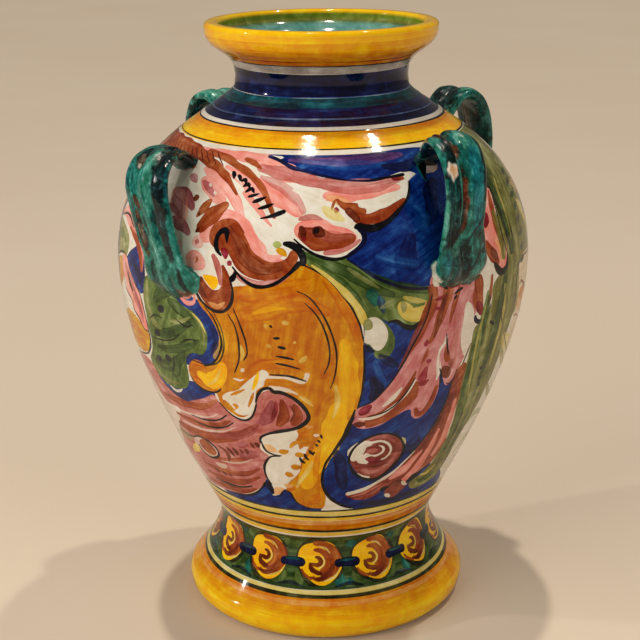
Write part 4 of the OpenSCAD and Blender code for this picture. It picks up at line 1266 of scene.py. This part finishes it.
def pink_tongue(paint):
    """Pink tongue behind the right handle."""
    paint.follow("""
        patch pink 1 80 47.6,145 49.4,151 52,156 57.6,160.6 58,158 56.4,152 56,146 57.4,138 57.8,131.6
            55.4,127.4 52.4,128.6 50.4,131.6 48.6,136.4
        rust 1,3,3,2.4,1 0.85 57.4,159.6 55,153 54.2,147 54.6,141 55.4,134
        crimson 2.4,5,3 0.85 51.4,152 49.8,148.4 48.6,146.6
        rust 2,5,5,2 0.9 48,141.6 49,137.6 51,134 53,131
        brown 3,4,2 0.7 49.4,137.6 51.4,135 52,132.4
        peach 2,3.4,2 0.8 52.4,140.6 54.4,136 55,131
        olive 2,4.4,5,3 0.85 55,152 55.4,144 55.8,137 55.4,131.6
        black 1.8,3.2,3,2,1 0.9 50.6,132.2 52.4,128.6 54.4,127.2 57,129 57.8,133.6
        line 0.9 57.8,133 56.4,140 56.2,147""")


def side_leaf(paint):
    """A gold frond on a blue stem of ground, where the design's ends meet."""
    paint.follow("""
        patch cobalt 1 80 86,158 82,152 80,143 82.6,134 79,124 77.6,114 81.6,106 82,96 79,86 78,74 82,64
            80.4,54 78,44 81.6,34 80,23.6 102,23.6 104,34 99.6,44 104,56 102,68 100,78 104,90 103,100
            100,110 104,122 102.6,132 99.6,142 101,152 96,160
        patch ochre 1 82 87,26 85,38 84,52 84.6,66 86.6,80 85,92 84.4,104 85.6,116 88.4,124 87,134 84.6,144
            84.8,154 87.6,161 91.6,162.6 95.6,160 97.6,153 97,144 94.6,136 96.6,126 98.6,114 98.8,100
            96.6,88 97.6,74 97.6,58 96,44 95,34 94,26
        yellow 2,5,6,7,5,6,6,2 0.75 90,30 88,44 87.4,58 89,72 91,86 89,98 88.6,110 90.6,122
        yellow 2,5,5,2 0.8 91,130 88,142 88.6,152 92,157.6
        orange 2,4,5,3,5,4,1.5 0.6 94,40 95.4,56 95,72 93.6,86 96,100 95.6,114 93.4,126
        straw 1,2.2,1 0.8 87.6,40 86.2,54 87,68
        straw 1,2.4,1 0.8 86.8,98 86.8,108 88.4,117
        patch rust 1 60 91.6,184 90,177 91.4,170 89.4,164.6 92,161.6 98,161 102,168 104,176 108,184
        patch pink 1 80 81.6,118 81,108 82,98 84.4,90 84,100 84.8,112 86,119 84.6,122
        patch pink 1 80 101.6,72 102.4,62 101,52 98.6,46 98.8,56 98.4,66 98,74 99.6,77
        pink 1,2.4,1 0.8 92.4,166 94,172 95,180
        rust 2,4,2 0.6 97,166 99,174 101,182
        rust 1,2.4,1 0.85 82.6,102 83,110 84.8,118
        rust 1,2.6,1 0.85 100.6,52 100.8,62 100,72
        line 1 86.6,26 84.6,38 83.8,52 84.4,66 86.2,80 84.6,92 84,104 85.2,116 88,124 86.4,134 84.2,144
            84.4,154 87.2,161.4 91.6,163.2 96,160.4 98,153
        line 1 95.6,36 98,58 97.8,74 97,88 99,102 98.8,114 96.6,127
        line 1 91,36 90.2,48 90.6,60 92.4,72
        line 1 92.4,92 91.4,104 92,116
        line 1 89.4,164.6 91.4,170 90,177 91.4,184""")
    for azimuth, low in ((90, 60), (91, 66), (92.4, 72), (91.4, 100), (91.6, 106), (92.2, 112),
                         (90.4, 144), (91, 149)):
        paint.line(f"{azimuth},{low} {azimuth + 2.4},{low + 1.6} {azimuth + 4.2},{low - 0.6}", 0.8, "brown")


for turned in (0.0, 180.0):
    body_paint.turned = turned
    for part in (blue_ground, curled_leaf, far_leaf, striped_leaf, yellow_scroll, white_folds,
                 shoulder_leaf, rust_curls, laid_leaf, hanging_leaf, shell_ball, rising_leaf,
                 olive_leaf, pink_tongue):
        part(body_paint)
for turned in (0.0, 180.0):
    body_paint.turned = turned
    side_leaf(body_paint)

inner = inward(joined(lower_belly, shoulder), wall_t)
corner_z = body_z + floor_t + floor_corner_r
corner_r = np.interp(corner_z, inner[:, 1], inner[:, 0])
inner = inner[(inner[:, 1] > corner_z) & (inner[:, 1] < seam_z)][::-4]
bowl = arc((corner_r - floor_corner_r, corner_z), floor_corner_r, 0, -90, 10)
body_piece = thrown("body_glazed", body_paint, [
    (np.vstack([[body.point(body.up[-1])], [(shoulder_r - wall_t / math.cos(shoulder_slope), seam_z)],
                inner, bowl]), "bare", "bare", 0),
    (np.array([(0, body_z + floor_t), (0, body_z), (waist_r - foot_wall, body_z)]), "bare", "clay", 0),
    (np.array([body.point(body.up[0])]), "clay", "clay", 1)],
    (painted_glaze, bare_clay))
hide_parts("body")

# ----------------------------------------------------------------------
# Collar. Thrown neck and everted rim, luted on the shoulder. Cobalt over a
# teal ring on the slope, a yellow rim, and a green glaze run into the mouth.
rim_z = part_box("collar")[1][2] / MM
neck_z, neck_r, rim_r, lip_round = 228.4, 35.4, 47.8, 2.0
neck_h, rim_h = neck_z - seam_z, rim_z - lip_round - neck_z
cove = bezier(shoulder_edge, shoulder_edge - 1.2 * neck_h * downhill,
              (neck_r, neck_z - 0.34 * neck_h), (neck_r, neck_z), 70)
rim_flare = bezier((neck_r, neck_z), (neck_r, neck_z + 0.6 * rim_h),
                   (rim_r, rim_z - lip_round - 0.55 * rim_h), (rim_r, rim_z - lip_round), 60)
collar = Wall(joined(cove, rim_flare), seam_z, seam_z, rim_z - lip_round)
collar_paint = Painter(collar, 11)
ring(collar_paint, "yellow", seam_z + 0.1, 213.2, cover=1.0)
fade(collar_paint, "orange", 213.1, 209.8, 0.45)
for stain, low, high, cover in (
        ("moss", seam_z + 0.25, seam_z + 0.6, 0.93), ("black", 213.0, 213.5, 0.93),
        ("cobalt", 214.5, 220.3, 1.0), ("navy", 214.5, 216.7, 0.8), ("navy", 217.1, 220.2, 0.5),
        # Pale sky line just under the turned step on the slope: a painted highlight.
        ("sky", 216.7, 217.1, 0.35),
        ("teal", 220.2, 223.5, 1.0), ("navy", 220.2, 223.5, 0.2), ("cobalt", 223.7, 232.7, 1.0),
        # On the next line: the pale sky line on the teal ring's upper edge is a painted highlight. The navy
        # over the cobalt neck deepens the stain and also paints the shade under the rim. The thin black wash
        # over the bare ring under the rim is painted shade.
        ("navy", 224.0, 232.7, 0.8), ("sky", 223.4, 223.7, 0.5), ("black", 232.7, 235.7, 0.13),
        ("black", 235.7, 236.2, 0.93), ("yellow", 236.2, 248.5, 1.0), ("ochre", 236.2, 245.5, 0.25)):
    ring(collar_paint, stain, low, high, cover=cover)
fade(collar_paint, "ochre", 236.2, 242.5, 0.85)
ring(collar_paint, "orange", 236.2, 238.0, cover=0.35)
ring(collar_paint, "brown", 237.5, 237.9, cover=0.5)
mouth = inward(joined(cove, rim_flare), wall_t)
mouth = mouth[(mouth[:, 1] > seam_z) & (mouth[:, 1] < rim_z - lip_round)][::-3]
lip_inner_r = mouth[0, 0]
lip = np.vstack([arc((rim_r - lip_round, rim_z - lip_round), lip_round, 0, 90, 8),
                 arc((lip_inner_r + lip_round, rim_z - lip_round), lip_round, 90, 180, 8)])
collar_piece = thrown("collar_glazed", collar_paint, [
    (lip[:12], "yellow", "yellow", 0), (lip[12:], "yellow", "lime", 0),
    (mouth[1:6], "lime", "olive", 0), (mouth[6:10], "leaf", "sea", 0), (mouth[10:], "sea", "teal", 0),
    (np.array([(shoulder_r - wall_t, seam_z), collar.point(collar.up[0])]), "clay", "clay", 1)],
    (painted_glaze, bare_clay))
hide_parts("collar", "collar_slip_joint")

# ----------------------------------------------------------------------
# Four strap handles. Each is a pulled strap of ribs and grooves, bent over
# from the shoulder, pressed on the belly with the thumb and smeared down all
# round. A copper green glaze covers it, worn through here and there to clay.
strap_w, strap_t = 20.0, 5.6
upper_seat_z, lower_seat_z = seam_z - 4.8, belly_z + 8.0
run_r, run_z = belly_r + 4.4, upper_seat_z - 13.0
thumb_w, thumb_h = 24.0, 12.5
upper_t = 6.2
slip_t = 0.8
END = 0.16    # share of a strap's length that turns into each of its ends
ROUND = 96    # points round a strap


def ease(x):
    """Smooth step: three x squared less two x cubed, between 0 and 1."""
    x = np.clip(x, 0, 1)
    return x * x * (3 - 2 * x)


def square_out(z):
    """Direction square to the body at a height, as (radius, z)."""
    low, high = body.point(body.up_at(z - 1)), body.point(body.up_at(z + 1))
    return unit(np.array([high[1] - low[1], low[0] - high[0]]))


def seat(z):
    """Where a strap's end sits: a slip's thickness off the body."""
    return np.array([body.point(body.up_at(z))[0], z]) + slip_t * square_out(z)


def strap_line(upper_z, lower_z, rise):
    """Centre line of a strap: square out of the shoulder, over the crown, down
    outside the belly and in to the thumbed end."""
    top, end = seat(upper_z), seat(lower_z)
    leave = 0.45 * (run_r - top[0])
    crown = top + [leave, rise]
    run = np.array([run_r, run_z])
    return joined(
        bezier(top, top + 0.45 * leave * square_out(upper_z), crown - [0.4 * leave, 0], crown, 52),
        bezier(crown, crown + [0.62 * (run_r - crown[0]), 0], run + [0, 0.55 * (crown[1] - run_z)], run,
               66),
        bezier(run, run - [0, 0.5 * (run_z - end[1])], end + [thumb_w / 6, thumb_h / 2], end, 78))


def foot_on_body(points):
    """Turn and up of the body's nearest place to each point: the height is
    followed along the wall until what is left over is square to it."""
    radius, z = np.hypot(points[..., 0], points[..., 1]), points[..., 2]
    up = body.up_at(z)
    step = 0.3
    for _ in range(5):
        at_r, at_z = body.point(up)
        r_high, z_high = body.point(up + step)
        up = up + (radius - at_r) * (r_high - at_r) / step + (z - at_z) * (z_high - at_z) / step
    return np.arctan2(points[..., 0], -points[..., 1]), up


def smear(ring, next_ring, end_ring, spread, seed, steps=9):
    """Rows that carry a strap's ring down on the body: each line leaves along
    the strap and arrives along the wall, a few uneven millimetres outside."""
    turn, up = foot_on_body(end_ring)
    size = body.point(up)[0]
    x, y = (turn - turn.mean()) * size, up - up.mean()
    outward = np.stack([np.roll(y, -1) - np.roll(y, 1), np.roll(x, 1) - np.roll(x, -1)], -1)
    outward *= np.sign((outward * np.stack([x, y], -1)).sum(-1, keepdims=True))
    outward = unit(outward)
    a = np.linspace(0, 2 * math.pi, len(ring), endpoint=False)
    ragged = spread * (1 + 0.25 * np.sin(5 * a + seed) + 0.2 * np.sin(11 * a + 2 * seed)
                       + 0.12 * np.sin(23 * a))

    def on_wall(out, height):
        """The ring pushed outwards on the wall, and held at a height over it."""
        there_turn, there_up = turn + outward[:, 0] * out / size, up + outward[:, 1] * out
        return body.surface(there_turn, there_up) + height * body.normal(there_turn, there_up)

    landing, inner = on_wall(ragged, -0.06), on_wall(0.25 * ragged, 0.12)
    leave = unit(next_ring - ring)
    reach = 0.45 * np.linalg.norm(inner - ring, axis=1, keepdims=True)
    t = np.linspace(0, 1, steps + 1)[1:, None, None]
    return (1 - t) ** 3 * ring + 3 * (1 - t) ** 2 * t * (ring + leave * reach) \
        + 3 * (1 - t) * t * t * inner + t ** 3 * landing


def coat(s, u, length, half_w, touches, seed):
    """Colour of the glaze along (s) and across (u) a strap: green, deeper on the flanks, with soft-edged
    touches of other stains; some touches are painted shade on the strap's inside and painted glints of
    light. A touch is written as its stain, s, u, half length, half width (in millimetres), lean and cover."""
    shade = 0.36 + 0.35 * np.sin(7 * s + seed) * np.sin(4 * u + 2 * seed) - 0.25 * u * u
    shade = np.clip(shade, 0, 1)[..., None]
    colour = STAINS["copper"] ** (0.5 + shade) * STAINS["verdigris"] ** (0.5 - shade)
    for name, *numbers in re.findall(r"([a-z]+)" + r" (\S+)" * 6, touches):
        stain = STAINS[name]
        at_s, at_u, long, wide, lean, cover = map(float, numbers)
        along, across = (s - at_s) * length, (u - at_u) * half_w
        c, sn = math.cos(math.radians(lean)), math.sin(math.radians(lean))
        x, y = (along * c + across * sn) / long, (across * c - along * sn) / wide
        edge = np.hypot(x, y) + 0.14 * np.sin(1.1 * along + 1.9 * across + seed) \
            + 0.07 * np.sin(1.7 * across - 2.9 * along)
        weight = (cover * ease((1.15 - edge) / 0.35))[..., None]
        colour = colour ** (1 - weight) * stain ** weight if stain.mean() < 0.12 \
            else colour * (1 - weight) + stain * weight
    return colour


def strap_section(s, along, seats, seed, grooves, sway):
    """Section of a strap at shares s of its line: how far each point of it
    stands to the side and out, and which way is out. It is a flat round with
    grooves, thin at the shoulder and thumbed out at its lower end. Sway lists
    (s, shift, widening) of the section."""
    top, low = 1 - ease(s / END), ease((s - (1 - END)) / END)
    upper_n, lower_n = (square_out(z) for z in seats)
    lie = unit(top[:, None] * [-upper_n[1], upper_n[0]] + low[:, None] * [lower_n[1], -lower_n[0]]
               + (1 - top - low)[:, None] * np.stack([-along[:, 1], along[:, 0]], -1))
    at, shift, widen = np.array(sway).T
    width = (strap_w * (0.86 + 0.14 * ease(2.5 * s)) + low * (thumb_w - strap_w)) * np.interp(s, at, widen)
    thick = strap_t + top * (upper_t - strap_t) + low * (thumb_h - strap_t)
    a = np.linspace(0, 2 * math.pi, ROUND, endpoint=False)
    u, v, rows = np.cos(a)[None], np.sin(a)[None], s[:, None]
    hollow = np.zeros((len(s), ROUND))
    for at_u, depth, half in grooves:
        wander = at_u + 0.07 * np.sin(5 * rows + seed) + 0.03 * np.sin(17 * rows + 2 * seed)
        hollow += depth * np.exp(-((u - wander) / half) ** 2)
    high = thick[:, None] / 2 * np.sign(v) * np.abs(v) ** 0.75
    high = high - (v > 0) * hollow * (1 - top[:, None]) * (1 - 0.6 * low[:, None])
    uneven = 0.2 * np.sin(9 * rows + 2.2 * a + seed) + 0.12 * np.sin(23 * rows - 3 * a) \
        + 0.07 * np.sin(51 * rows + 5 * a)
    high = high + np.sqrt(np.abs(v)) * uneven
    side = width[:, None] / 2 * u * (1 + 0.02 * np.sin(13 * rows + seed)) + np.interp(s, at, shift)[:, None]
    return side, high, lie, u, v


def tube(name, points):
    """Mesh of a tube of rings with a shallow cone at each end, its UV corners,
    and a function that gives a value of each grid point at those corners."""
    count, share = len(points), np.arange(ROUND + 1) / ROUND
    ids = np.arange(count * ROUND).reshape(count, ROUND)
    a0, a1, b0, b1 = ids[:-1], np.roll(ids[:-1], -1, 1), ids[1:], np.roll(ids[1:], -1, 1)
    faces = np.stack([a0, b0, b1, a1], -1).reshape(-1, 4).tolist()
    for first, second, tip in ((ids[0], np.roll(ids[0], -1), count * ROUND),
                               (np.roll(ids[-1], -1), ids[-1], count * ROUND + 1)):
        faces += np.stack([first, second, np.full(ROUND, tip)], -1).tolist()
    tips = np.array([points[0].mean(0), points[-1].mean(0)])
    tips *= 1 - 1.0 / np.linalg.norm(tips, axis=1, keepdims=True)
    mesh = bpy.data.meshes.new(name)
    mesh.from_pydata((np.vstack([points.reshape(-1, 3), tips]) * MM).tolist(), [], faces)

    def corners(grid):
        g = np.concatenate([grid, grid[:, :1]], 1) if grid.shape[1] == ROUND else grid
        return np.stack([g[:-1, :-1], g[1:, :-1], g[1:, 1:], g[:-1, 1:]], 2).reshape(-1, grid.shape[2])

    def at_corners(grid):
        caps = [np.repeat(grid[row, :1], 3 * ROUND, 0) for row in (0, -1)]
        return np.concatenate([corners(grid), *caps])

    tall = np.r_[0, np.cumsum(np.linalg.norm(np.diff(points, axis=0), axis=-1).mean(1))]
    margin = 0.03
    tall = margin + (1 - 2 * margin) * tall / tall[-1]
    middle = share[:-1] + 0.5 / ROUND
    cap_uv = [np.stack([np.stack([first, second, middle], -1), np.full((ROUND, 3), (edge, edge, tip))], -1)
              for first, second, edge, tip in ((share[:-1], share[1:], margin, 0.0),
                                               (share[1:], share[:-1], 1 - margin, 1.0))]
    uv = np.vstack([corners(np.stack(np.broadcast_arrays(share[None], tall[:, None]), -1)),
                    np.concatenate(cap_uv).reshape(-1, 2)])
    return mesh, uv, at_corners


def strap(name, azimuths, lifts, rise, seed, grooves, sway, touches):
    """A strap from its seat on the shoulder to the one on the belly, smeared
    on the body at both ends. Azimuths and lifts are those of the upper and of
    the lower seat, a lift being millimetres above the usual height."""
    seats = upper_seat_z + lifts[0], lower_seat_z + lifts[1]
    line = strap_line(*seats, rise)
    run = lengths(line)
    s = np.linspace(0, 1, len(line))
    azimuth = np.radians(azimuths[0] + (azimuths[1] - azimuths[0]) * ease(s))[:, None]
    along = unit(np.gradient(line, axis=0))
    side, high, lie, u, v = strap_section(s, along, seats, seed, grooves, sway)
    radius, z = line[:, :1] + high * lie[:, :1], line[:, 1:] + high * lie[:, 1:]
    c, sn = np.cos(azimuth), np.sin(azimuth)
    points = np.stack([radius * sn + side * c, -radius * c + side * sn, z], -1)
    first, last = np.searchsorted(run, 2.0), np.searchsorted(run, run[-1] - 3.4)
    upper = smear(points[first], points[first - 1], points[0], 0.5, seed)
    lower = smear(points[last], points[last + 1], points[-1], 1.3, seed + 1)
    points = np.concatenate([upper[::-1], points[first:last + 1], lower])
    s = np.r_[np.linspace(-0.03, s[first], len(upper) + 1)[:-1], s[first:last + 1],
              np.linspace(s[last], 1.03, len(lower) + 1)[1:]]
    mesh, uv, at_corners = tube(name, points)
    length, half_w = run[-1], strap_w / 2
    round_u = np.where(v < 0, np.sign(u) * (2 - np.abs(u)), u)
    colours = coat(s[:, None], round_u, length, half_w, touches, seed)
    brush = np.stack(np.broadcast_arrays(s[:, None] * length, u * half_w + 3 * v, seed), -1)
    piece = finished(name, mesh, (handle_glaze,), None, uv,
                     paint=at_corners(colours), brush=at_corners(brush))
    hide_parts(name[:-len("_strap")], "handle_upper_slip_pads", "handle_lower_slip_pads")


def copper_glaze(name):
    """Copper green over the clay: the coat's colour, broken by mottling that
    runs down the strap and by fine dark and pale specks."""
    material, node = new_material(name)
    place = node("TexCoord").outputs["Object"]
    paint = node("Attribute", attribute_name="paint").outputs["Color"]
    brush = node("Attribute", attribute_name="brush").outputs["Vector"]
    clouds = noise(node, place, 210.0, 5.0, 0.65, 0.7)
    power = swung(node, 1.0, 0.32,
                  (noise(node, streaks(node, brush, 0.16, 0.5, 3.0), 1.0, 4.0, 0.6, 0.8), -0.34, 0.4),
                  (clouds, -0.34, 0.36), (noise(node, place, 900.0, 2.0), -0.12, 0.14))
    power = node("Math", {0: power, 1: 0.3}, operation="MAXIMUM").outputs[0]
    deep = node("Gamma", {"Color": paint, "Gamma": power})
    surface(node, deep.outputs[0], 0.1, 1.45, clouds, 0.4, 0.0006)
    return material


STAINS.update(copper=screen(14, 92, 84), verdigris=screen(84, 164, 142), cyan=screen(8, 116, 128),
              deep=screen(6, 30, 32), worn=screen(116, 98, 82), tan=screen(214, 174, 136))
handle_glaze = copper_glaze("copper_green_glaze")
WORN_GROOVE = """
    brown 0.3 0 7 1.1 0 0.7
    deep 0.45 0 9 1.4 0 0.6
    worn 0.62 0.02 9 1 0 0.8"""
# Among this strap's touches, the two deep ones at u 1.5 and -1.5, on the strap's inside, are painted shade
# under the arch, and the small bare one at s 0.43 is a painted glint.
strap("handle_front_left_strap", (-50.0, -41.5), (-2.2, -1.5), 4.4, 1.0,
      ((0.38, 1.6, 0.12), (-0.22, 0.7, 0.2)),
      ((0, -3.8, 0.84), (0.15, -3.4, 0.92), (0.3, -2.4, 1.05), (0.4, -2.4, 1.15), (0.55, -2.4, 1.2),
       (0.7, -0.8, 1.12), (0.82, 0.6, 1.08), (0.92, 0.2, 1.04), (1, 0, 1)),
      """
    deep 0.25 0.5 14 5 0 0.9
    deep 0.45 0.72 14 3 0 0.97
    deep 0.62 0.66 10 2 3 0.95
    deep 0.76 0.66 6 1.6 3 0.85
    cyan 0.47 1 9 0.6 0 0.25
    cyan 0.5 -0.95 10 1.4 0 0.5
    deep 0.14 1.5 16 6 0 0.9
    deep 0.14 -1.5 16 6 0 0.9
    deep 0.02 0.4 5 9 0 0.7
    verdigris 0.45 0.2 12 1.3 0 0.6
    verdigris 0.84 -0.1 8 5 0 0.3
    deep 0.37 -0.3 4.5 2.4 0 0.7
    worn 0.4 -0.3 2.6 1.8 0 0.7
    bare 0.43 -0.28 0.9 0.8 0 0.5
    brown 0.6 -0.4 1.8 1.2 15 0.8
    brown 0.665 -0.46 2.4 1.1 12 0.8
    deep 0.725 -0.5 4.4 2 12 0.8
    worn 0.725 -0.5 3.4 1.2 12 0.7
    brown 0.79 -0.55 2.6 1 12 0.7
    deep 0.69 -0.2 2.2 0.7 20 0.6
    deep 0.66 0.32 2.6 1.1 8 0.75
    deep 0.71 0.42 2.6 1 8 0.8
    deep 0.93 0.8 4 0.9 -6 0.8
    deep 0.97 0.35 4 0.8 0 0.6
    deep 0.9 -0.35 4 1.2 10 0.5
    green 1 -0.6 4 4 20 0.7
    brown 1 0.55 2.4 3.2 0 0.8
    pink 1.025 0.62 1 2.2 0 0.8""")
# Among this strap's touches, the two deep ones at u 1.5 and -1.5, on the strap's inside, are painted shade
# under the arch, and the small bare one at s 0.315 is a painted glint.
strap("handle_front_right_strap", (38.0, 37.0), (0.0, 3.0), 8.8, 2.7,
      ((-0.2, 1.5, 0.15), (-0.62, 0.9, 0.09)),
      ((0, 2.2, 0.84), (0.15, 0.9, 0.92), (0.3, -1.2, 1), (0.5, -2.6, 0.98), (0.6, -3.4, 0.97),
       (0.7, -4, 0.98), (0.8, -3.4, 1.1), (0.9, -2, 1.1), (1, 0, 1)),
      """
    deep 0.1 1.5 18 6 0 0.97
    deep 0.1 -1.5 18 6 0 0.97
    deep 0 0 4 12 0 0.8
    deep 0.9 -0.35 8 5 0 0.5
    cyan 0.5 0.42 9 3.6 0 0.75
    cyan 0.62 0.5 7 3 0 0.4
    deep 0.46 0.85 9 1.5 0 0.8
    deep 0.58 -0.85 15 1.4 0 0.7
    deep 0.55 -0.55 14 0.8 0 0.9
    verdigris 0.33 0.2 4 3 0 0.6
    bare 0.315 0.3 1 0.7 30 0.6
    verdigris 0.56 -0.38 10 0.9 0 0.5
    brown 0.3 -0.5 7 1.2 6 0.85
    brown 0.38 -0.32 3.4 1.4 0 0.85
    verdigris 0.66 -0.98 8 0.6 0 0.6
    deep 0.37 -0.6 5 1.6 0 0.6
    bare 0.466 -0.72 2.5 2.1 4 0.97
    tan 0.468 -0.7 1.9 1.5 4 1
    brown 0.59 -0.2 8.5 1.4 0 0.97
    deep 0.66 -0.3 5 1 -12 0.8
    deep 0.72 -0.72 5 2 -14 0.95
    black 0.735 -0.55 5 0.6 -18 0.9
    deep 0.7 0.45 5.5 0.5 -50 0.8
    verdigris 0.8 -0.5 5 1.2 -12 0.3
    cyan 0.88 -0.75 5 2 0 0.5
    deep 0.84 -0.1 7 2.4 -6 0.8
    deep 0.8 0.85 6 1.8 0 0.8
    deep 0.9 0.3 5 0.6 -45 0.75
    deep 0.95 0 5 1.6 -12 0.85
    copper 0.93 0.6 5 3.5 0 0.6
    brown 1.01 -0.2 1.6 4 0 0.55
    bare 1 -0.95 1.8 1.6 0 0.75""")
# Among this strap's touches, the tan one in the groove at s 0.36 is a painted highlight, and the deep one at
# u 1.6, on the strap's inside, is painted shade.
strap("handle_back_left_strap", (-143.0, -142.0), (0.0, 0.0), 7.5, 4.1,
      ((0.05, 1.7, 0.22),),
      ((0, 0, 1), (1, 0, 1)),
      WORN_GROOVE + """
    tan 0.36 0.05 3.4 1.6 0 0.8
    verdigris 0.3 0.6 12 4 0 0.7
    verdigris 0.2 0 14 9 0 0.5
    deep 0.6 1.6 30 7 0 0.6""")
# Among this strap's touches, the two deep ones at u 1.6 and -1.6, on the strap's inside, are painted shade
# under the arch.
strap("handle_back_right_strap", (128.5, 130.0), (0.0, 0.0), 9.5, 5.6,
      ((0.0, 1.7, 0.24),),
      ((0, 0, 1), (1, 0, 1)),
      WORN_GROOVE + """
    verdigris 0.32 -0.6 8 2.6 0 0.95
    deep 0.3 0.1 8 2.2 0 0.8
    deep 0.12 0 10 8 0 0.7
    deep 0.5 1.6 30 6 0 0.4
    deep 0.5 -1.6 30 6 0 0.4
    worn 0.5 1.8 7 2.6 0 0.5""")

# ----------------------------------------------------------------------
# Floor, light and camera. A pale warm table under three small bright lamps,
# which the glaze mirrors, and two wide ones that stand for the room's light.
scene = bpy.context.scene
scene.view_settings.view_transform = "Standard"
floor_mesh = bpy.data.meshes.new("floor")
reach = 3.0
floor_mesh.from_pydata([(-reach, -reach, 0), (reach, -reach, 0), (reach, reach, 0), (-reach, reach, 0)],
                       [], [(0, 1, 2, 3)])
floor = bpy.data.objects.new("floor", floor_mesh)
scene.collection.objects.link(floor)
floor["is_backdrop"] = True
pale, node = new_material("pale_table")
clouds = noise(node, node("TexCoord").outputs["Object"], 3.0, 3.0)
tone = node("MapRange", {"Value": clouds, "From Min": 0.3, "From Max": 0.7, "To Min": 0.94, "To Max": 1.04})
table = node("Gamma", {"Color": (0.72, 0.6, 0.47, 1), "Gamma": tone.outputs[0]})
glossy = node("LightPath").outputs["Is Glossy Ray"]
mirrored = node("MapRange", {"Value": glossy, "To Min": 1.0, "To Max": 0.7})
seen = node("VectorMath", {0: table.outputs[0], "Scale": mirrored.outputs[0]}, operation="SCALE")
shader = node("BsdfPrincipled", {"Base Color": seen.outputs[0], "Roughness": 0.6})
node("OutputMaterial", {"Surface": shader.outputs[0]})
floor_mesh.materials.append(pale)

world = bpy.data.worlds.new("studio")
scene.world = world
world.use_nodes = True
background = world.node_tree.nodes["Background"]
background.inputs["Color"].default_value = (0.86, 0.78, 0.68, 1)
background.inputs["Strength"].default_value = 0.16

AIM, LAMP_DISTANCE = Vector((0, 0, 0.13)), 1.5


def lamp(name, kind, direction, strength, colour):
    """A lamp that shines on the vase from a direction: a small bright one
    ("SUN"), or a wide one ("AREA") that gives no highlight."""
    light = bpy.data.lights.new(name, kind)
    light.energy, light.color = strength, colour
    made = bpy.data.objects.new(name, light)
    scene.collection.objects.link(made)
    made.location = AIM + LAMP_DISTANCE * Vector(direction).normalized()
    made.rotation_euler = (AIM - made.location).to_track_quat("-Z", "Y").to_euler()
    if kind == "SUN":
        light.angle = math.radians(2)
    else:
        light.size = 1.2
        made.visible_glossy = False


warm, plain = (1.0, 0.93, 0.82), (1.0, 0.97, 0.92)
lamp("ceiling_light", "SUN", (-0.08, 0.125, 0.99), 1.05, warm)
lamp("side_light", "SUN", (0.32, 0.24, 0.92), 0.65, warm)
lamp("left_light", "SUN", (-0.88, -0.1, 0.46), 0.5, plain)
lamp("left_fill", "AREA", (-1.05, -0.8, 0.6), 12.6, plain)
lamp("right_fill", "AREA", (0.9, -0.8, 0.5), 5.8, plain)

camera = bpy.data.objects.new("camera", bpy.data.cameras.new("camera"))
scene.collection.objects.link(camera)
scene.camera = camera
camera.data.sensor_width = 36.0
camera.data.lens = 78.06
pitch, yaw, lean = math.radians(-18.06), math.radians(-0.16), math.radians(-0.58)
ahead = Vector((math.sin(yaw) * math.cos(pitch), math.cos(yaw) * math.cos(pitch), math.sin(pitch)))
right = Vector((math.cos(yaw), -math.sin(yaw), 0))
above = right.cross(ahead)
leaned_right = math.cos(lean) * right + math.sin(lean) * above
leaned_up = math.cos(lean) * above - math.sin(lean) * right
camera.matrix_world = Matrix.Translation((0, -0.5707, 0.3082)) @ Matrix(
    (leaned_right, leaned_up, -ahead)).transposed().to_4x4()

low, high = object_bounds()
